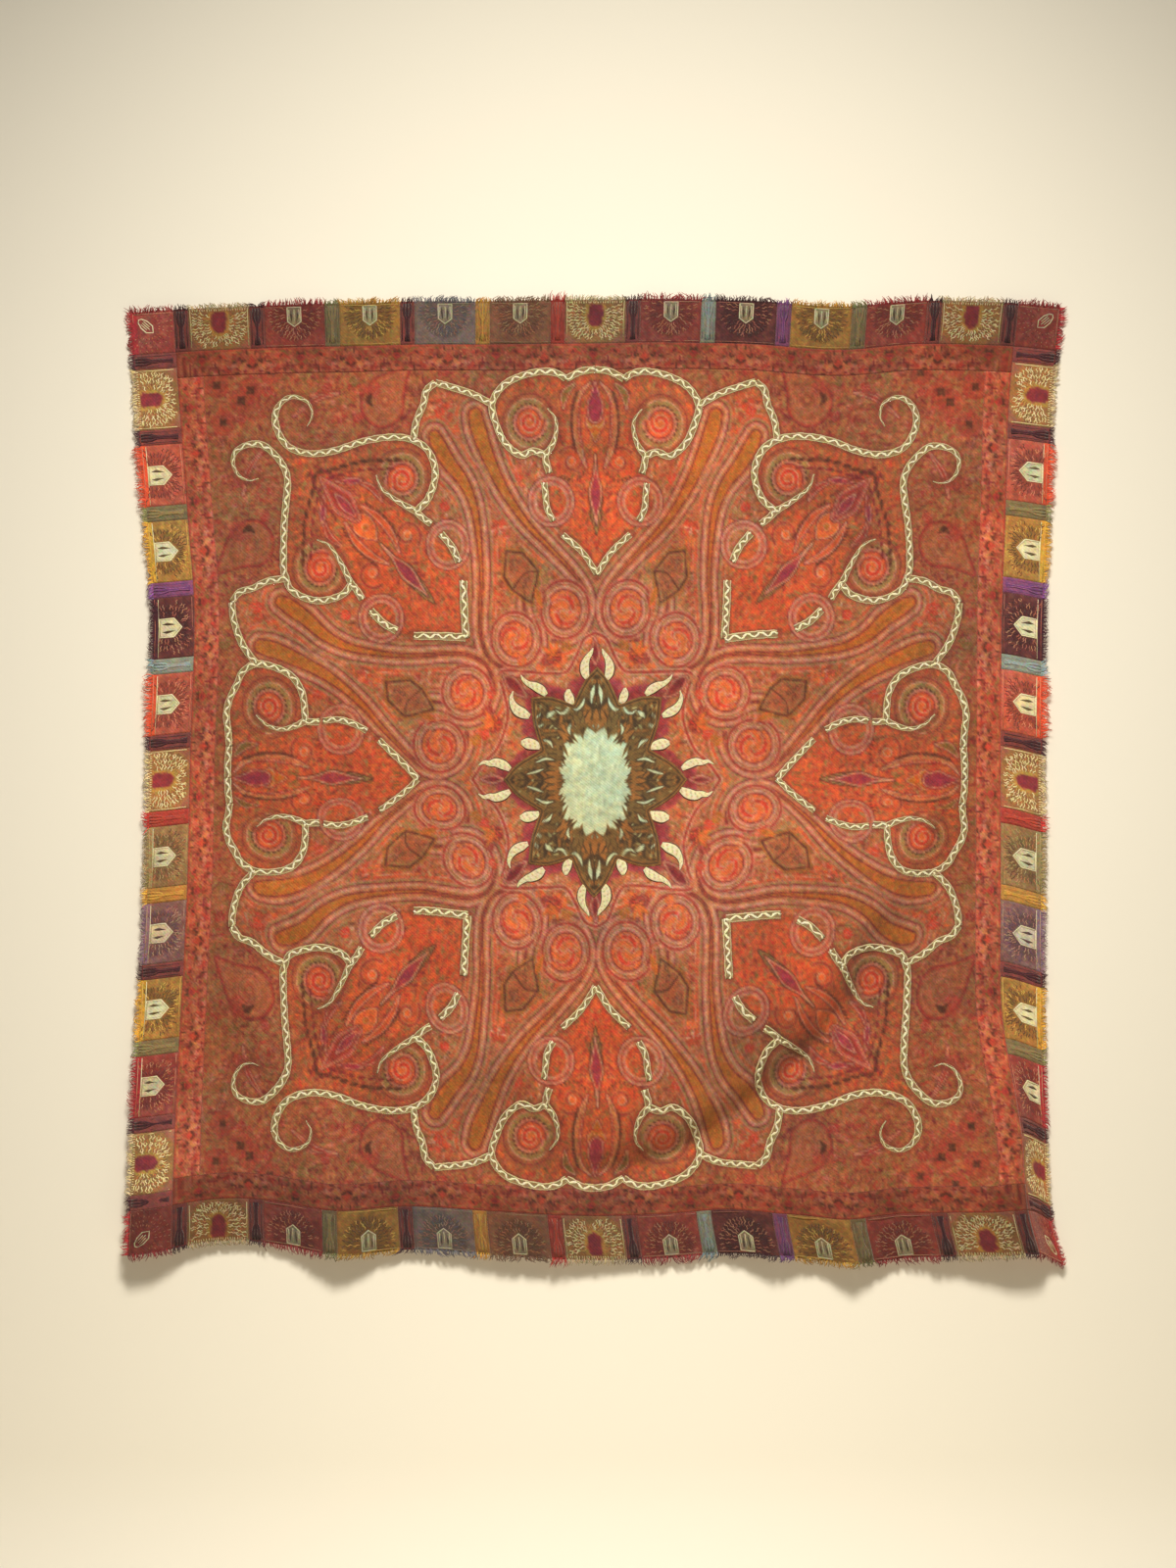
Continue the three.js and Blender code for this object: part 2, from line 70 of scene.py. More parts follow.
# The star of leaves in the middle: its upper right quarter, and how far each side bulges
STAR_QUARTER = table("name across up", ("upright tip", 0, 218), ("steep notch", 46, 146),
                     ("slanting tip", 130, 158), ("low notch", 108, 58), ("level tip", 182, 0))
LEAF_BULGE = 9.0

# The cloth's outline from the front
SIDE_EDGES = table(
    "drop left right",
    (0, -903, 903), (180, -890, 884), (410, -871, 874), (600, -857, 866), (850, -865, 864),
    (1150, -871, 864), (1420, -886, 865), (1620, -895, 872), (1760, -899, 882), (1848, -901, 905))
LEVEL_EDGES = table(
    "across top hem",
    (-903, -25, -1845), (-700, -14, -1822), (-490, -7, -1845), (-357, -4, -1839), (-205, -3, -1847),
    (0, 0, -1858), (137, 1, -1855), (289, -2, -1845), (479, -13, -1861), (631, -2, -1851),
    (745, -4, -1845), (821, -8, -1841), (903, -15, -1870))

# Where the cloth stands off the wall, as a distance to the front
REST_DEPTH = 11.0
REST_REACH = 260.0
FIXING_SPACING = CLOTH_WIDTH / 8
FIXING_SAG = 5.0
FIXING_REACH = 150.0
BELLIES = table(
    "name u v turn across above below depth power",
    ("main swag", 60, 1440, 4, 330, 560, 195, 78, 3.2),
    ("right swag", 370, 1240, -42, 300, 330, 168, 50, 4.4),
    ("left hollow", -560, 1230, 18, 300, 330, 220, 14, 2.6),
    ("upper left", -420, 520, 24, 300, 260, 300, 8, 2.4),
    ("upper right", 470, 470, -20, 280, 240, 280, 7, 2.4))
FOLDS = table(
    "name route start middle end left right",
    ("swag foot", ((566, 1222), (500, 1440), (230, 1700), (-95, 1690)), -8, -24, -6, 40, 30),
    ("left pull", ((-720, 650), (-660, 520), (-590, 380), (-520, 250)), 3, 8, 2, 44, 60),
    ("left cross", ((-690, 690), (-590, 740), (-470, 780), (-350, 790)), 4, 6, 1, 40, 52),
    ("left low", ((-760, 1240), (-690, 1370), (-610, 1520), (-520, 1640)), 3, 10, 5, 62, 48),
    ("left lower", ((-640, 1130), (-520, 1190), (-420, 1300), (-330, 1450)), 2, 7, 3, 52, 44),
    ("right pull", ((560, 1180), (650, 1050), (710, 930), (760, 760)), 8, 9, 2, 60, 46),
    ("right long", ((742, 560), (752, 700), (742, 860), (770, 1040)), 2, 7, 3, 50, 40),
    ("right low", ((660, 1300), (640, 1430), (590, 1540), (520, 1680)), 4, 11, 6, 58, 46),
    ("centre soft", ((-200, 1000), (-120, 1080), (40, 1130), (190, 1120)), 2, 6, 2, 52, 66),
    ("top soft", ((210, 210), (230, 330), (200, 450), (140, 560)), 2, 5, 1, 46, 46))
FLUTES = table(
    "name at lean width reach depth",
    ("left corner", -866, 30, 74, 520, 42), ("left peak", -495, -60, 70, 340, 38),
    ("broad", -120, 20, 150, 300, 20), ("right peak", 340, 30, 58, 280, 30),
    ("far peak", 486, 40, 50, 400, 38), ("far small", 640, 20, 34, 190, 9))
CURL = {"from": 1330, "fade": 330, "ridge": 108, "inside": 120, "outside": 52,
        "depth": 50, "shift": 30, "inward": 260}


def smooth_rise(t):
    """0 to 1, flat at both ends."""
    t = np.clip(t, 0, 1)
    return t * t * (3 - 2 * t)


def bell(distance, spread):
    """1 in the middle, falling smoothly to 0."""
    return np.exp(-((distance / spread) ** 2))


def between(rows, key, column, place):
    """A smooth curve through a table's column, read at many places at once."""
    keys = np.array([row[key] for row in rows], float)
    values = np.array([row[column] for row in rows], float)
    last = len(keys) - 1
    order = np.arange(last + 1)
    before, after = np.maximum(order - 1, 0), np.minimum(order + 1, last)
    slope = (values[after] - values[before]) / (keys[after] - keys[before])
    place = np.clip(place, keys[0], keys[-1])
    low = np.clip(np.searchsorted(keys, place) - 1, 0, last - 1)
    span = keys[low + 1] - keys[low]
    t = (place - keys[low]) / span
    rise = 3 * t**2 - 2 * t**3
    return (values[low] * (1 - rise) + values[low + 1] * rise
            + span * (t**3 - 2 * t**2 + t) * slope[low] + span * (t**3 - t**2) * slope[low + 1])


def nearest(line, x, y):
    """Each point's distance to a line, the place along it in its points, and its side."""
    best = np.full(x.shape, 1e9)
    place = np.zeros(x.shape)
    side = np.zeros(x.shape)
    for i in range(len(line) - 1):
        (ax, ay), (bx, by) = line[i, :2], line[i + 1, :2]
        dx, dy = bx - ax, by - ay
        t = np.clip(((x - ax) * dx + (y - ay) * dy) / (dx * dx + dy * dy + 1e-9), 0, 1)
        ox, oy = x - ax - t * dx, y - ay - t * dy
        distance = np.hypot(ox, oy)
        closer = distance < best
        best = np.where(closer, distance, best)
        place = np.where(closer, i + t, place)
        side = np.where(closer, np.sign(dx * oy - dy * ox), side)
    return best, place, side


def bezier(corners, count):
    """Points along a cubic curve."""
    t = np.linspace(0, 1, count + 1)[:, None]
    a, b, c, d = (np.array(corner, float) for corner in corners)
    return a * (1 - t) ** 3 + 3 * b * t * (1 - t) ** 2 + 3 * c * t**2 * (1 - t) + d * t**3


def belly_depth(belly, u, v):
    """A rounded swag of its own turn, with a steeper side below."""
    turn = math.radians(belly["turn"])
    across = (u - belly["u"]) * math.cos(turn) + (v - belly["v"]) * math.sin(turn)
    down = (v - belly["v"]) * math.cos(turn) - (u - belly["u"]) * math.sin(turn)
    reach = np.where(down > 0, belly["below"], belly["above"])
    return belly["depth"] * np.exp(-(np.hypot(across / belly["across"], down / reach) ** belly["power"]))


def fold_depth(fold, u, v):
    """A ridge along its route, with a height at the start, the middle and the end."""
    route = bezier(fold["route"], 24)
    reach = 3 * max(fold["left"], fold["right"])
    low, high = route.min(0) - reach, route.max(0) + reach
    near = (u > low[0]) & (u < high[0]) & (v > low[1]) & (v < high[1])
    distance, place, side = nearest(route, u[near], v[near])
    along = place / (len(route) - 1)
    height = (fold["start"] * (1 - along) * (1 - 2 * along) + fold["middle"] * 4 * along * (1 - along)
              + fold["end"] * along * (2 * along - 1))
    depth = np.zeros(u.shape)
    depth[near] = height * bell(distance, np.where(side < 0, fold["left"], fold["right"]))
    return depth


def flute_depth(flute, u, v):
    """A flute that grows towards the hem."""
    grown = np.maximum(0, 1 - (CLOTH_DROP - v) / flute["reach"])
    return flute["depth"] * grown**1.5 * bell(u - flute["at"] - flute["lean"] * (1 - grown), flute["width"])


def curl_share(v):
    """How much the right side curls, from nothing above to all of it at the hem."""
    return smooth_rise((v - CURL["from"]) / CURL["fade"])


# Fine unevenness of the cloth, as rows of the size of its cells and its height
RELIEF = table("cell height seed", (150, 1.5, 1), (52, 0.8, 2), (19, 0.28, 3))
PUCKER_CELL = 15.0
PUCKER_HEIGHT = 0.75
PUCKER_REACH = 15.0
NOISE_CELLS = 210


def soft_noise(u, v, cell, seed):
    """Smooth uneven heights from -1 to 1, with a new one at every cell."""
    heights = np.random.default_rng(seed).uniform(-1, 1, (NOISE_CELLS, NOISE_CELLS))
    x, y = (u + 1000) / cell, (v + 100) / cell
    i, k = np.floor(x).astype(int), np.floor(y).astype(int)
    s, t = smooth_rise(x - i), smooth_rise(y - k)
    i, k = i % (NOISE_CELLS - 1), k % (NOISE_CELLS - 1)
    upper = heights[i, k] * (1 - s) + heights[i + 1, k] * s
    lower = heights[i, k + 1] * (1 - s) + heights[i + 1, k + 1] * s
    return upper * (1 - t) + lower * t


def uneven(rows, u, v):
    """Smooth unevenness of several sizes, added up."""
    return sum(row["height"] * soft_noise(u, v, row["cell"], row["seed"]) for row in rows)


def from_edge(u, v):
    """How far a flat place is from the cloth's nearest edge."""
    return np.minimum(np.minimum(u + HALF, HALF - u), np.minimum(v, CLOTH_DROP - v))


def relief(u, v):
    """The uneven hand of pieced and stitched wool, with puckers at its two long seams."""
    height = uneven(RELIEF, u, v)
    edge = from_edge(u, v)
    for seam in (BORDER, BORDER + INNER_BORDER):
        height = height + PUCKER_HEIGHT * soft_noise(u, v, PUCKER_CELL, 5) * bell(edge - seam, PUCKER_REACH)
    return height


def depth_at(u, v):
    """The distance of the cloth's back from the wall."""
    slack = REST_DEPTH * (1 - bell(v, REST_REACH))
    sag = FIXING_SAG * np.sin(np.pi * u / FIXING_SPACING) ** 2 * bell(v, FIXING_REACH)
    from_ridge = u - (HALF - CURL["ridge"])
    spread = np.where(from_ridge > 0, CURL["outside"], CURL["inside"])
    depth = slack + sag + CURL["depth"] * curl_share(v) * bell(from_ridge, spread)
    for belly in BELLIES:
        depth = depth + belly_depth(belly, u, v)
    for fold in FOLDS:
        depth = depth + fold_depth(fold, u, v)
    for flute in FLUTES:
        depth = depth + flute_depth(flute, u, v)
    return depth + relief(u, v)


def seen_from_front(u, v):
    """Where a flat place shows, across and up."""
    share = u / CLOTH_WIDTH + 0.5
    left = between(SIDE_EDGES, "drop", "left", v)
    right = between(SIDE_EDGES, "drop", "right", v)
    top = between(LEVEL_EDGES, "across", "top", u)
    hem = between(LEVEL_EDGES, "across", "hem", u)
    inside = HALF - BORDER - u
    pull = np.where(inside > 0, bell(inside, CURL["inward"]), 1 + inside / BORDER)
    across = left + (right - left) * share + CURL["shift"] * curl_share(v) * pull
    return across, top + (hem - top) * v / CLOTH_DROP


def back_point(u, v):
    """The place in space of the cloth's back, in millimetres."""
    across, up = seen_from_front(u, v)
    return np.stack([across, -depth_at(u, v), up], axis=-1)


# The cloth's slope is taken over this much of it either way
NORMAL_STEP = 2.0


def cloth_point(u, v, out):
    """Points in space, in metres, for flat places and how far each stands out from the back."""
    u, v = np.asarray(u, float), np.asarray(v, float)
    here = back_point(u, v)
    along_u = back_point(u + NORMAL_STEP, v) - back_point(u - NORMAL_STEP, v)
    along_v = back_point(u, v + NORMAL_STEP) - back_point(u, v - NORMAL_STEP)
    outward = np.cross(along_v, along_u)
    outward /= np.linalg.norm(outward, axis=-1, keepdims=True)
    return (here + outward * np.asarray(out, float)[..., None]) / 1000


# The design is painted flat in code, one quarter at a time, in millimetres across and up from
# the middle of the field, and each point of the cloth then takes its colour from it.
DESIGN_REACH = 872.0
DESIGN_STEP = 1.4

# Thread colours, as eight-bit sRGB
THREADS = {
    "brown": (146, 80, 50),
    "deep brown": (118, 56, 40),
    "star brown": (154, 86, 54),
    "middle brown": (168, 94, 58),
    "red orange": (184, 76, 42),
    "tan": (168, 100, 62),
    "pink": (172, 102, 80),
    "pale pink": (190, 138, 108),
    "ochre": (160, 90, 34),
    "orange": (204, 92, 44),
    "scarlet": (184, 56, 36),
    "crimson": (144, 52, 40),
    "clay": (158, 80, 56),
    "rust": (162, 60, 42),
    "wine": (112, 38, 38),
    "magenta": (136, 46, 58),
    "dark": (80, 42, 30),
    "khaki": (140, 106, 62),
    "olive": (114, 82, 42),
    "pale wool": (174, 182, 144),
    "leaf brown": (104, 78, 42),
    "leaf dark": (66, 48, 30),
    "leaf ochre": (134, 86, 42),
    "leaf green": (148, 140, 92),
}

# The white ribbons, as points across and up in the upper right quarter; each is mirrored
RIBBONS = {
    "palmette arm": [(0, 396), (30, 438), (71, 473)],
    "palmette dash": [(90, 499), (103, 524), (106, 551), (109, 574)],
    "palmette neck": [(98, 592), (104, 611), (106, 626)],
    "palmette scroll": [(106, 626), (131, 634), (158, 626), (190, 649), (209, 685), (219, 726),
                        (197, 760), (160, 779), (112, 789), (80, 785), (61, 774)],
    "palmette crown": [(61, 774), (30, 789), (0, 793)],
    "palmette hook": [(106, 626), (90, 646), (81, 673), (83, 697), (99, 716)],
    "lobe side": [(219, 726), (262, 747), (307, 760), (340, 768)],
    "lobe end": [(340, 768), (359, 752), (366, 724), (380, 693), (386, 656)],
    "corner arm": [(271, 271), (275, 330), (277, 385)],
    "corner dash": [(287, 421), (302, 450), (326, 476)],
    "corner neck": [(347, 494), (364, 505), (380, 519)],
    "corner scroll": [(380, 519), (352, 544), (337, 590), (352, 633), (386, 656), (433, 662),
                      (492, 653), (552, 633), (604, 627), (650, 641), (675, 676), (677, 708),
                      (660, 731), (637, 738), (608, 726), (600, 701), (611, 680)],
    "corner hook": [(380, 519), (419, 540), (452, 564), (463, 590)],
}
# Where the ribbons of the lower right octant differ, as points up and across
SIDE_RIBBONS = {
    "palmette arm": [(0, 378), (24, 402), (52, 432), (76, 458)],
    "palmette dash": [(93, 482), (107, 514), (113, 545), (110, 574)],
    "palmette neck": [(108, 582), (108, 600), (110, 612)],
    "palmette scroll": [(110, 612), (140, 614), (168, 620), (196, 640), (214, 676), (221, 716),
                        (206, 744), (180, 758), (152, 773), (123, 780), (95, 777), (61, 775)],
    "palmette crown": [(61, 775), (30, 779), (0, 780)],
    "palmette hook": [(110, 612), (100, 634), (94, 664), (103, 694), (122, 716)],
    "corner scroll": [(378, 517), (356, 536), (344, 577), (349, 614), (366, 645), (388, 655), (409, 660),
                      (485, 658), (532, 653), (575, 650), (603, 660), (627, 681), (644, 707), (643, 738),
                      (629, 762), (605, 766), (582, 752), (574, 730), (578, 712)],
    "lobe side": [(221, 716), (262, 747), (307, 764), (340, 768)],
}
RIBBON_WIDTH = 15.0
HOOKS = ("palmette hook", "corner hook")
TAILS = ("corner scroll",)

# Long teardrops on vines, from the round head along the middle, with the half width at each point
TEARDROPS = {
    "inner": [(255, 706, 15), (248, 680, 17), (233, 640, 15), (208, 585, 12), (176, 533, 9), (138, 486, 7),
              (93, 443, 5), (46, 396, 3.5), (21, 360, 3), (17, 325, 3), (34, 290, 3), (70, 271, 3),
              (110, 276, 3), (142, 306, 2.6), (150, 345, 2.2), (138, 380, 1.8)],
    "outer": [(341, 664, 13), (331, 645, 16), (306, 608, 15), (277, 573, 12), (257, 532, 9), (247, 488, 7),
              (240, 420, 5), (239, 370, 4), (241, 320, 3.4), (238, 268, 3), (218, 228, 3),
              (178, 213, 3), (138, 226, 2.6), (118, 258, 2.2), (120, 290, 1.8)],
}

SWIRLS = table("across up radius flames", (66, 328, 55, (0.6, 3.5)), (168, 272, 54, (2.4, 5.6)))
LINK_RINGS = table("across up radius", (94, 537, 41), (311, 454, 40))
SCROLL_HEADS = table("across up radius start", (138, 690, 66, 3.0), (408, 582, 63, -0.6))


def linear(rgb):
    """An eight-bit sRGB colour as linear light."""
    c = np.asarray(rgb, float) / 255
    return np.where(c <= 0.04045, c / 12.92, ((c + 0.055) / 1.055) ** 2.4)


def spline(points, step=5.0):
    """A smooth line through the points, with a point every step or so. Extra columns come along."""
    p = np.asarray(points, float)
    if len(p) < 3:
        count = max(2, int(np.hypot(*(p[1, :2] - p[0, :2])) / step) + 1)
        t = np.linspace(0, 1, count)[:, None]
        return p[0] * (1 - t) + p[1] * t
    padded = np.vstack([2 * p[0] - p[1], p, 2 * p[-1] - p[-2]])
    out = []
    for i in range(1, len(padded) - 2):
        a, b, c, d = padded[i - 1 : i + 3]
        count = max(2, int(np.hypot(*(c[:2] - b[:2])) / step) + 1)
        t = np.linspace(0, 1, count, endpoint=False)[:, None]
        out.append(0.5 * (2 * b + (c - a) * t + (2 * a - 5 * b + 4 * c - d) * t**2
                          + (3 * b - a - 3 * c + d) * t**3))
    return np.vstack([*out, p[-1:]])


def inside(outline, x, y):
    """Which points lie within a closed outline."""
    found = np.zeros(x.shape, bool)
    for (ax, ay), (bx, by) in zip(outline, np.roll(outline, -1, axis=0), strict=True):
        if ay == by:
            continue
        crosses = (ay > y) != (by > y)
        found ^= crosses & (x < (bx - ax) * (y - ay) / (by - ay) + ax)
    return found


class Design:
    """A flat canvas: colour by place, across and up, painted in layers."""

    def __init__(self, across=DESIGN_REACH, up=DESIGN_REACH, ground="brown"):
        ticks = (np.arange(0, reach, DESIGN_STEP) for reach in (across, up))
        self.x, self.y = np.meshgrid(*ticks, indexing="ij")
        self.colour = np.tile(np.array(THREADS[ground], float), (*self.x.shape, 1))
        self.only = None

    def turned(self):
        """The same canvas with across and up changed over, to paint a motif's mirror image."""
        other = object.__new__(Design)
        other.x, other.y, other.colour, other.only = self.y.T, self.x.T, self.colour.transpose(1, 0, 2), None
        return other

    def window(self, low, high, margin):
        """The part of the design between two corners, widened by a margin."""
        sizes = self.x.shape
        i0, k0 = (int(np.clip((v - margin) / DESIGN_STEP, 0, n)) for v, n in zip(low, sizes, strict=True))
        i1, k1 = (int(np.clip((v + margin) / DESIGN_STEP + 2, 0, n))
                  for v, n in zip(high, sizes, strict=True))
        return slice(i0, i1), slice(k0, k1)

    def paint(self, part, cover, thread):
        """Lays a thread colour over part of the design, as thickly as cover says."""
        cover = np.clip(cover, 0, 1)
        if self.only is not None:
            cover = cover * self.only[part]
        self.colour[part] += (np.array(THREADS[thread], float) - self.colour[part]) * cover[..., None]

    def bands(self, part, distance, table, strength=1.0):
        """Paints threads side by side: rows of (from, to, thread) by distance."""
        for low, high, thread in table:
            cover = np.clip((distance - low) / DESIGN_STEP + 0.5, 0, 1)
            cover = cover * np.clip((high - distance) / DESIGN_STEP + 0.5, 0, 1)
            self.paint(part, cover * strength, thread)

    def around(self, line, reach):
        """The window about a line, with its distance, place and side there."""
        part = self.window(line[:, :2].min(0), line[:, :2].max(0), reach)
        return part, nearest(line, self.x[part], self.y[part])

    def disc(self, centre, table, strength=1.0):
        """Rings of thread round a centre: rows of (from, to, thread) by radius."""
        part = self.window(centre, centre, max(row[1] for row in table) + 2)
        self.bands(part, np.hypot(self.x[part] - centre[0], self.y[part] - centre[1]), table, strength)

    def drop(self, points, fill, table, reach, strength=1.0):
        """A shape along a line, half as wide as each point's third value, with threads round its edge."""
        line = spline(points, 4.0)
        part, (distance, place, _) = self.around(line, line[:, 2].max() + reach)
        out = distance - np.interp(place, np.arange(len(line)), line[:, 2])
        self.paint(part, 0.5 - out / DESIGN_STEP, fill)
        self.bands(part, out, table, strength)
        return line, part, out, place

    def stroke(self, points, width, thread, strength=1.0):
        """A line of one width."""
        line = spline(points)
        part, (distance, _, _) = self.around(line, width)
        self.paint(part, np.clip((width / 2 - distance) / DESIGN_STEP + 0.5, 0, 1) * strength, thread)

    def leaf(self, across, up, turn, length, width, thread, edge=None, strength=1.0):
        """A pointed leaf from its foot, turned from upright, with an edge."""
        c, s = math.cos(math.radians(turn)), math.sin(math.radians(turn))
        tip = (across + length * s, up + length * c)
        part = self.window(np.minimum((across, up), tip), np.maximum((across, up), tip), width)
        dx, dy = self.x[part] - across, self.y[part] - up
        along, beside = np.clip((dx * s + dy * c) / length, 0, 1), dx * c - dy * s
        depth = width / 2 * np.sin(np.pi * along**0.8) - np.abs(beside)
        depth = np.where((along > 0) & (along < 1), depth / DESIGN_STEP + 0.5, 0)
        self.paint(part, depth * strength, edge or thread)
        if edge:
            self.paint(part, (depth - 1.1) * strength, thread)


def star_outline(grow=0.0):
    """The medallion's outline round its middle, as places across and up."""
    upper = [(row["across"], row["up"]) for row in STAR_QUARTER]
    lower = [(across, -up) for across, up in upper[-2::-1]]
    right = upper + lower
    corners = np.array(right + [(-across, up) for across, up in right[-2:0:-1]], float)
    points = []
    for here, there in zip(corners, np.roll(corners, -1, axis=0), strict=True):
        middle = (here + there) / 2
        middle = middle + LEAF_BULGE * middle / np.hypot(*middle)
        points += list(spline([here, middle, there])[:-1])
    outline = np.array(points)
    return outline * (1 + grow / np.hypot(outline[:, 0], outline[:, 1]))[:, None]


def octant_lines(is_side):
    """Every ribbon's smooth line in one octant, in that octant's own two directions."""
    return {name: spline(SIDE_RIBBONS.get(name, points) if is_side else points)
            for name, points in RIBBONS.items()}


# Where the corner scroll turns back and where the lobe meets it, across, in the upper and in the side octant
SCROLL_TURNS = (640, 600)
LOBE_ENDS = (386, 388)
SCROLL_SHOULDER = 716


def closed_outlines(line, is_side):
    """The palmette, and this octant's share of the corner and of the whole star, as closed outlines."""
    palmette = np.vstack([
        line["palmette arm"], line["palmette dash"], line["palmette neck"],
        line["palmette scroll"], line["palmette crown"]])
    lobe = np.vstack([line["lobe side"], line["lobe end"]])
    scroll = line["corner scroll"]
    joins = scroll[: int(np.argmax(scroll[:, 0] > SCROLL_TURNS[is_side]))]
    corner = np.vstack([line["corner arm"], line["corner dash"], line["corner neck"], joins])
    after_lobe = joins[joins[:, 0] >= LOBE_ENDS[is_side]]
    crown = line["palmette crown"]
    scroll_top = line["palmette scroll"]
    rim = np.vstack([crown[::-1], scroll_top[scroll_top[:, 1] >= SCROLL_SHOULDER][::-1]])
    whole = np.vstack([[(0, 0)], rim, lobe, after_lobe, [(560, 560)]])
    corner = np.vstack([corner, [(640, 640), (271, 271)]])
    return palmette, corner, whole


# Threads side by side round each kind of motif, in millimetres out from its edge
VINE_BANDS = [(-2.4, 1.0, "wine"), (1.0, 6.0, "tan"), (6.0, 8.6, "pale pink"), (8.6, 13.0, "pink"),
              (13.0, 15.6, "wine"), (15.6, 19.6, "khaki"), (19.6, 21.8, "pink")]
ECHO_BANDS = [(21.8, 28.0, "red orange"), (28.0, 30.4, "pale pink"), (34.0, 36.4, "olive"),
              (41.0, 43.4, "pink")]
RING_BANDS = [(-9.0, -6.8, "pale pink"), (-6.8, -2.0, "pink"), (-2.0, 0.6, "crimson"), (0.6, 5.0, "pink"),
              (5.0, 7.2, "pale pink"), (7.2, 9.4, "wine")]
SWIRL_BANDS = [(-2.0, 0.6, "wine"), (0.6, 4.4, "pink"), (4.4, 7.0, "pale pink"), (7.0, 11.0, "star brown"),
               (11.0, 13.2, "pale pink"), (13.2, 18.6, "crimson"), (18.6, 21.0, "pink")]
HEAD_BANDS = [(0, 8, "orange"), (8, 10.4, "pale pink"), (10.4, 18, "scarlet"), (18, 20.4, "pale pink"),
              (20.4, 27, "red orange"), (27, 29.4, "wine"), (29.4, 34, "pink"), (34, 36.2, "pale pink"),
              (36.2, 47, "khaki"), (47, 49.4, "pale pink"), (49.4, 57, "brown"), (57, 59.4, "wine"),
              (59.4, 90, "brown")]
BUD_BANDS = [(-6.0, -3.6, "crimson"), (-3.6, -0.8, "pale pink"), (-0.8, 1.6, "dark")]
LEAF_BANDS = [(-2.0, 0.2, "pale pink"), (0.2, 2.2, "wine")]
PAISLEY_BANDS = [(-13.0, -11.6, "pink"), (-11.6, -6.0, "brown"), (-6.0, -2.0, "crimson"), (-2.0, 0.4, "wine")]

# The small leaves that cover the ground, and their threads in each part of it
FILL_SPACING = 12.0
FILL_STRENGTH = 0.62
OVER_STRENGTH = 0.14
FILL_THREADS = {
    "palmette": ["scarlet", "orange", "tan", "crimson", "khaki", "olive", "red orange", "brown", "orange",
                 "deep brown"],
    "star": ["tan", "khaki", "crimson", "olive", "orange", "pink", "deep brown", "khaki", "pale pink",
             "red orange"],
    "outside": ["deep brown", "khaki", "tan", "wine", "olive", "crimson", "brown", "pink", "khaki"],
}
# Soft patches of another wool inside the star, as ovals
PATCHES = table(
    "across up wide high turn thread",
    (203, 465, 22, 66, -14, "scarlet"), (214, 352, 18, 50, 0, "scarlet"), (108, 408, 26, 34, 30, "khaki"),
    (150, 330, 15, 44, 0, "khaki"), (172, 602, 20, 60, 20, "red orange"), (316, 700, 24, 52, 0, "scarlet"),
    (60, 258, 26, 14, 20, "khaki"), (262, 232, 40, 20, 40, "red orange"), (262, 470, 10, 60, 6, "crimson"),
    (236, 690, 14, 44, -20, "red orange"), (66, 398, 16, 34, 20, "scarlet"), (290, 540, 16, 50, -26, "khaki"))
# Small groups of leaves: where each stands, which way it points, its size and thread
SPRAYS = table(
    "across up turn size thread",
    (332, 704, -8, 24, "scarlet"), (166, 572, 4, 30, "scarlet"), (190, 600, 12, 24, "crimson"),
    (141, 452, -14, 26, "scarlet"), (196, 452, 20, 24, "orange"), (262, 610, -6, 30, "crimson"),
    (282, 700, 10, 26, "orange"), (268, 740, 30, 22, "crimson"), (188, 372, 40, 24, "crimson"),
    (120, 420, -30, 22, "orange"), (250, 224, 30, 26, "scarlet"), (274, 262, 60, 22, "orange"),
    (300, 330, -20, 24, "crimson"), (320, 520, -24, 24, "scarlet"), (352, 610, 6, 26, "crimson"),
    (84, 240, 20, 24, "orange"), (96, 256, 60, 20, "scarlet"), (160, 352, -60, 18, "scarlet"),
    (30, 300, 20, 18, "crimson"), (14, 262, 0, 18, "orange"), (730, 690, -40, 30, "tan"),
    (560, 752, 70, 26, "crimson"), (610, 780, 84, 24, "olive"), (500, 690, 30, 24, "crimson"),
    (640, 786, 60, 26, "deep brown"), (690, 740, 20, 26, "crimson"), (250, 782, 80, 24, "olive"),
    (120, 806, -84, 26, "olive"), (60, 806, 84, 22, "deep brown"), (180, 800, 96, 26, "crimson"),
    (330, 790, -70, 26, "crimson"), (380, 740, 10, 24, "deep brown"), (520, 764, -60, 22, "olive"))
# What stands round the star of leaves: buds at its tips, soft patches of red and a thin frame
STAR_BUDS = [[(0, 224, 3), (0, 240, 10), (0, 256, 8), (0, 274, 2)],
             [(146, 160, 4), (164, 174, 12), (178, 188, 12), (190, 198, 4)],
             [(196, 0, 3), (214, 0, 9), (228, 0, 7), (240, 0, 2)]]
STAR_SHRINK = 0.955
STAR_FRAME = [(0, 284), (24, 272), (42, 236), (62, 208), (104, 206), (196, 208), (193, 172), (184, 136),
              (187, 104), (206, 60), (236, 30), (258, 0)]
STAR_SPRAYS = table(
    "across up turn size thread",
    (66, 222, 40, 34, "orange"), (80, 236, 70, 26, "scarlet"), (104, 222, -10, 26, "crimson"),
    (60, 250, 10, 24, "ochre"), (206, 104, 60, 32, "orange"), (224, 88, 90, 26, "scarlet"),
    (222, 124, 30, 26, "crimson"), (244, 70, 50, 26, "ochre"), (150, 222, 30, 22, "orange"),
    (212, 160, 50, 22, "scarlet"), (118, 212, 0, 18, "orange"), (200, 190, 45, 20, "tan"))
# Florets in the notches of the star, and the way each one faces
STAR_FLORETS = ((88, 240, 18), (212, 106, 72))
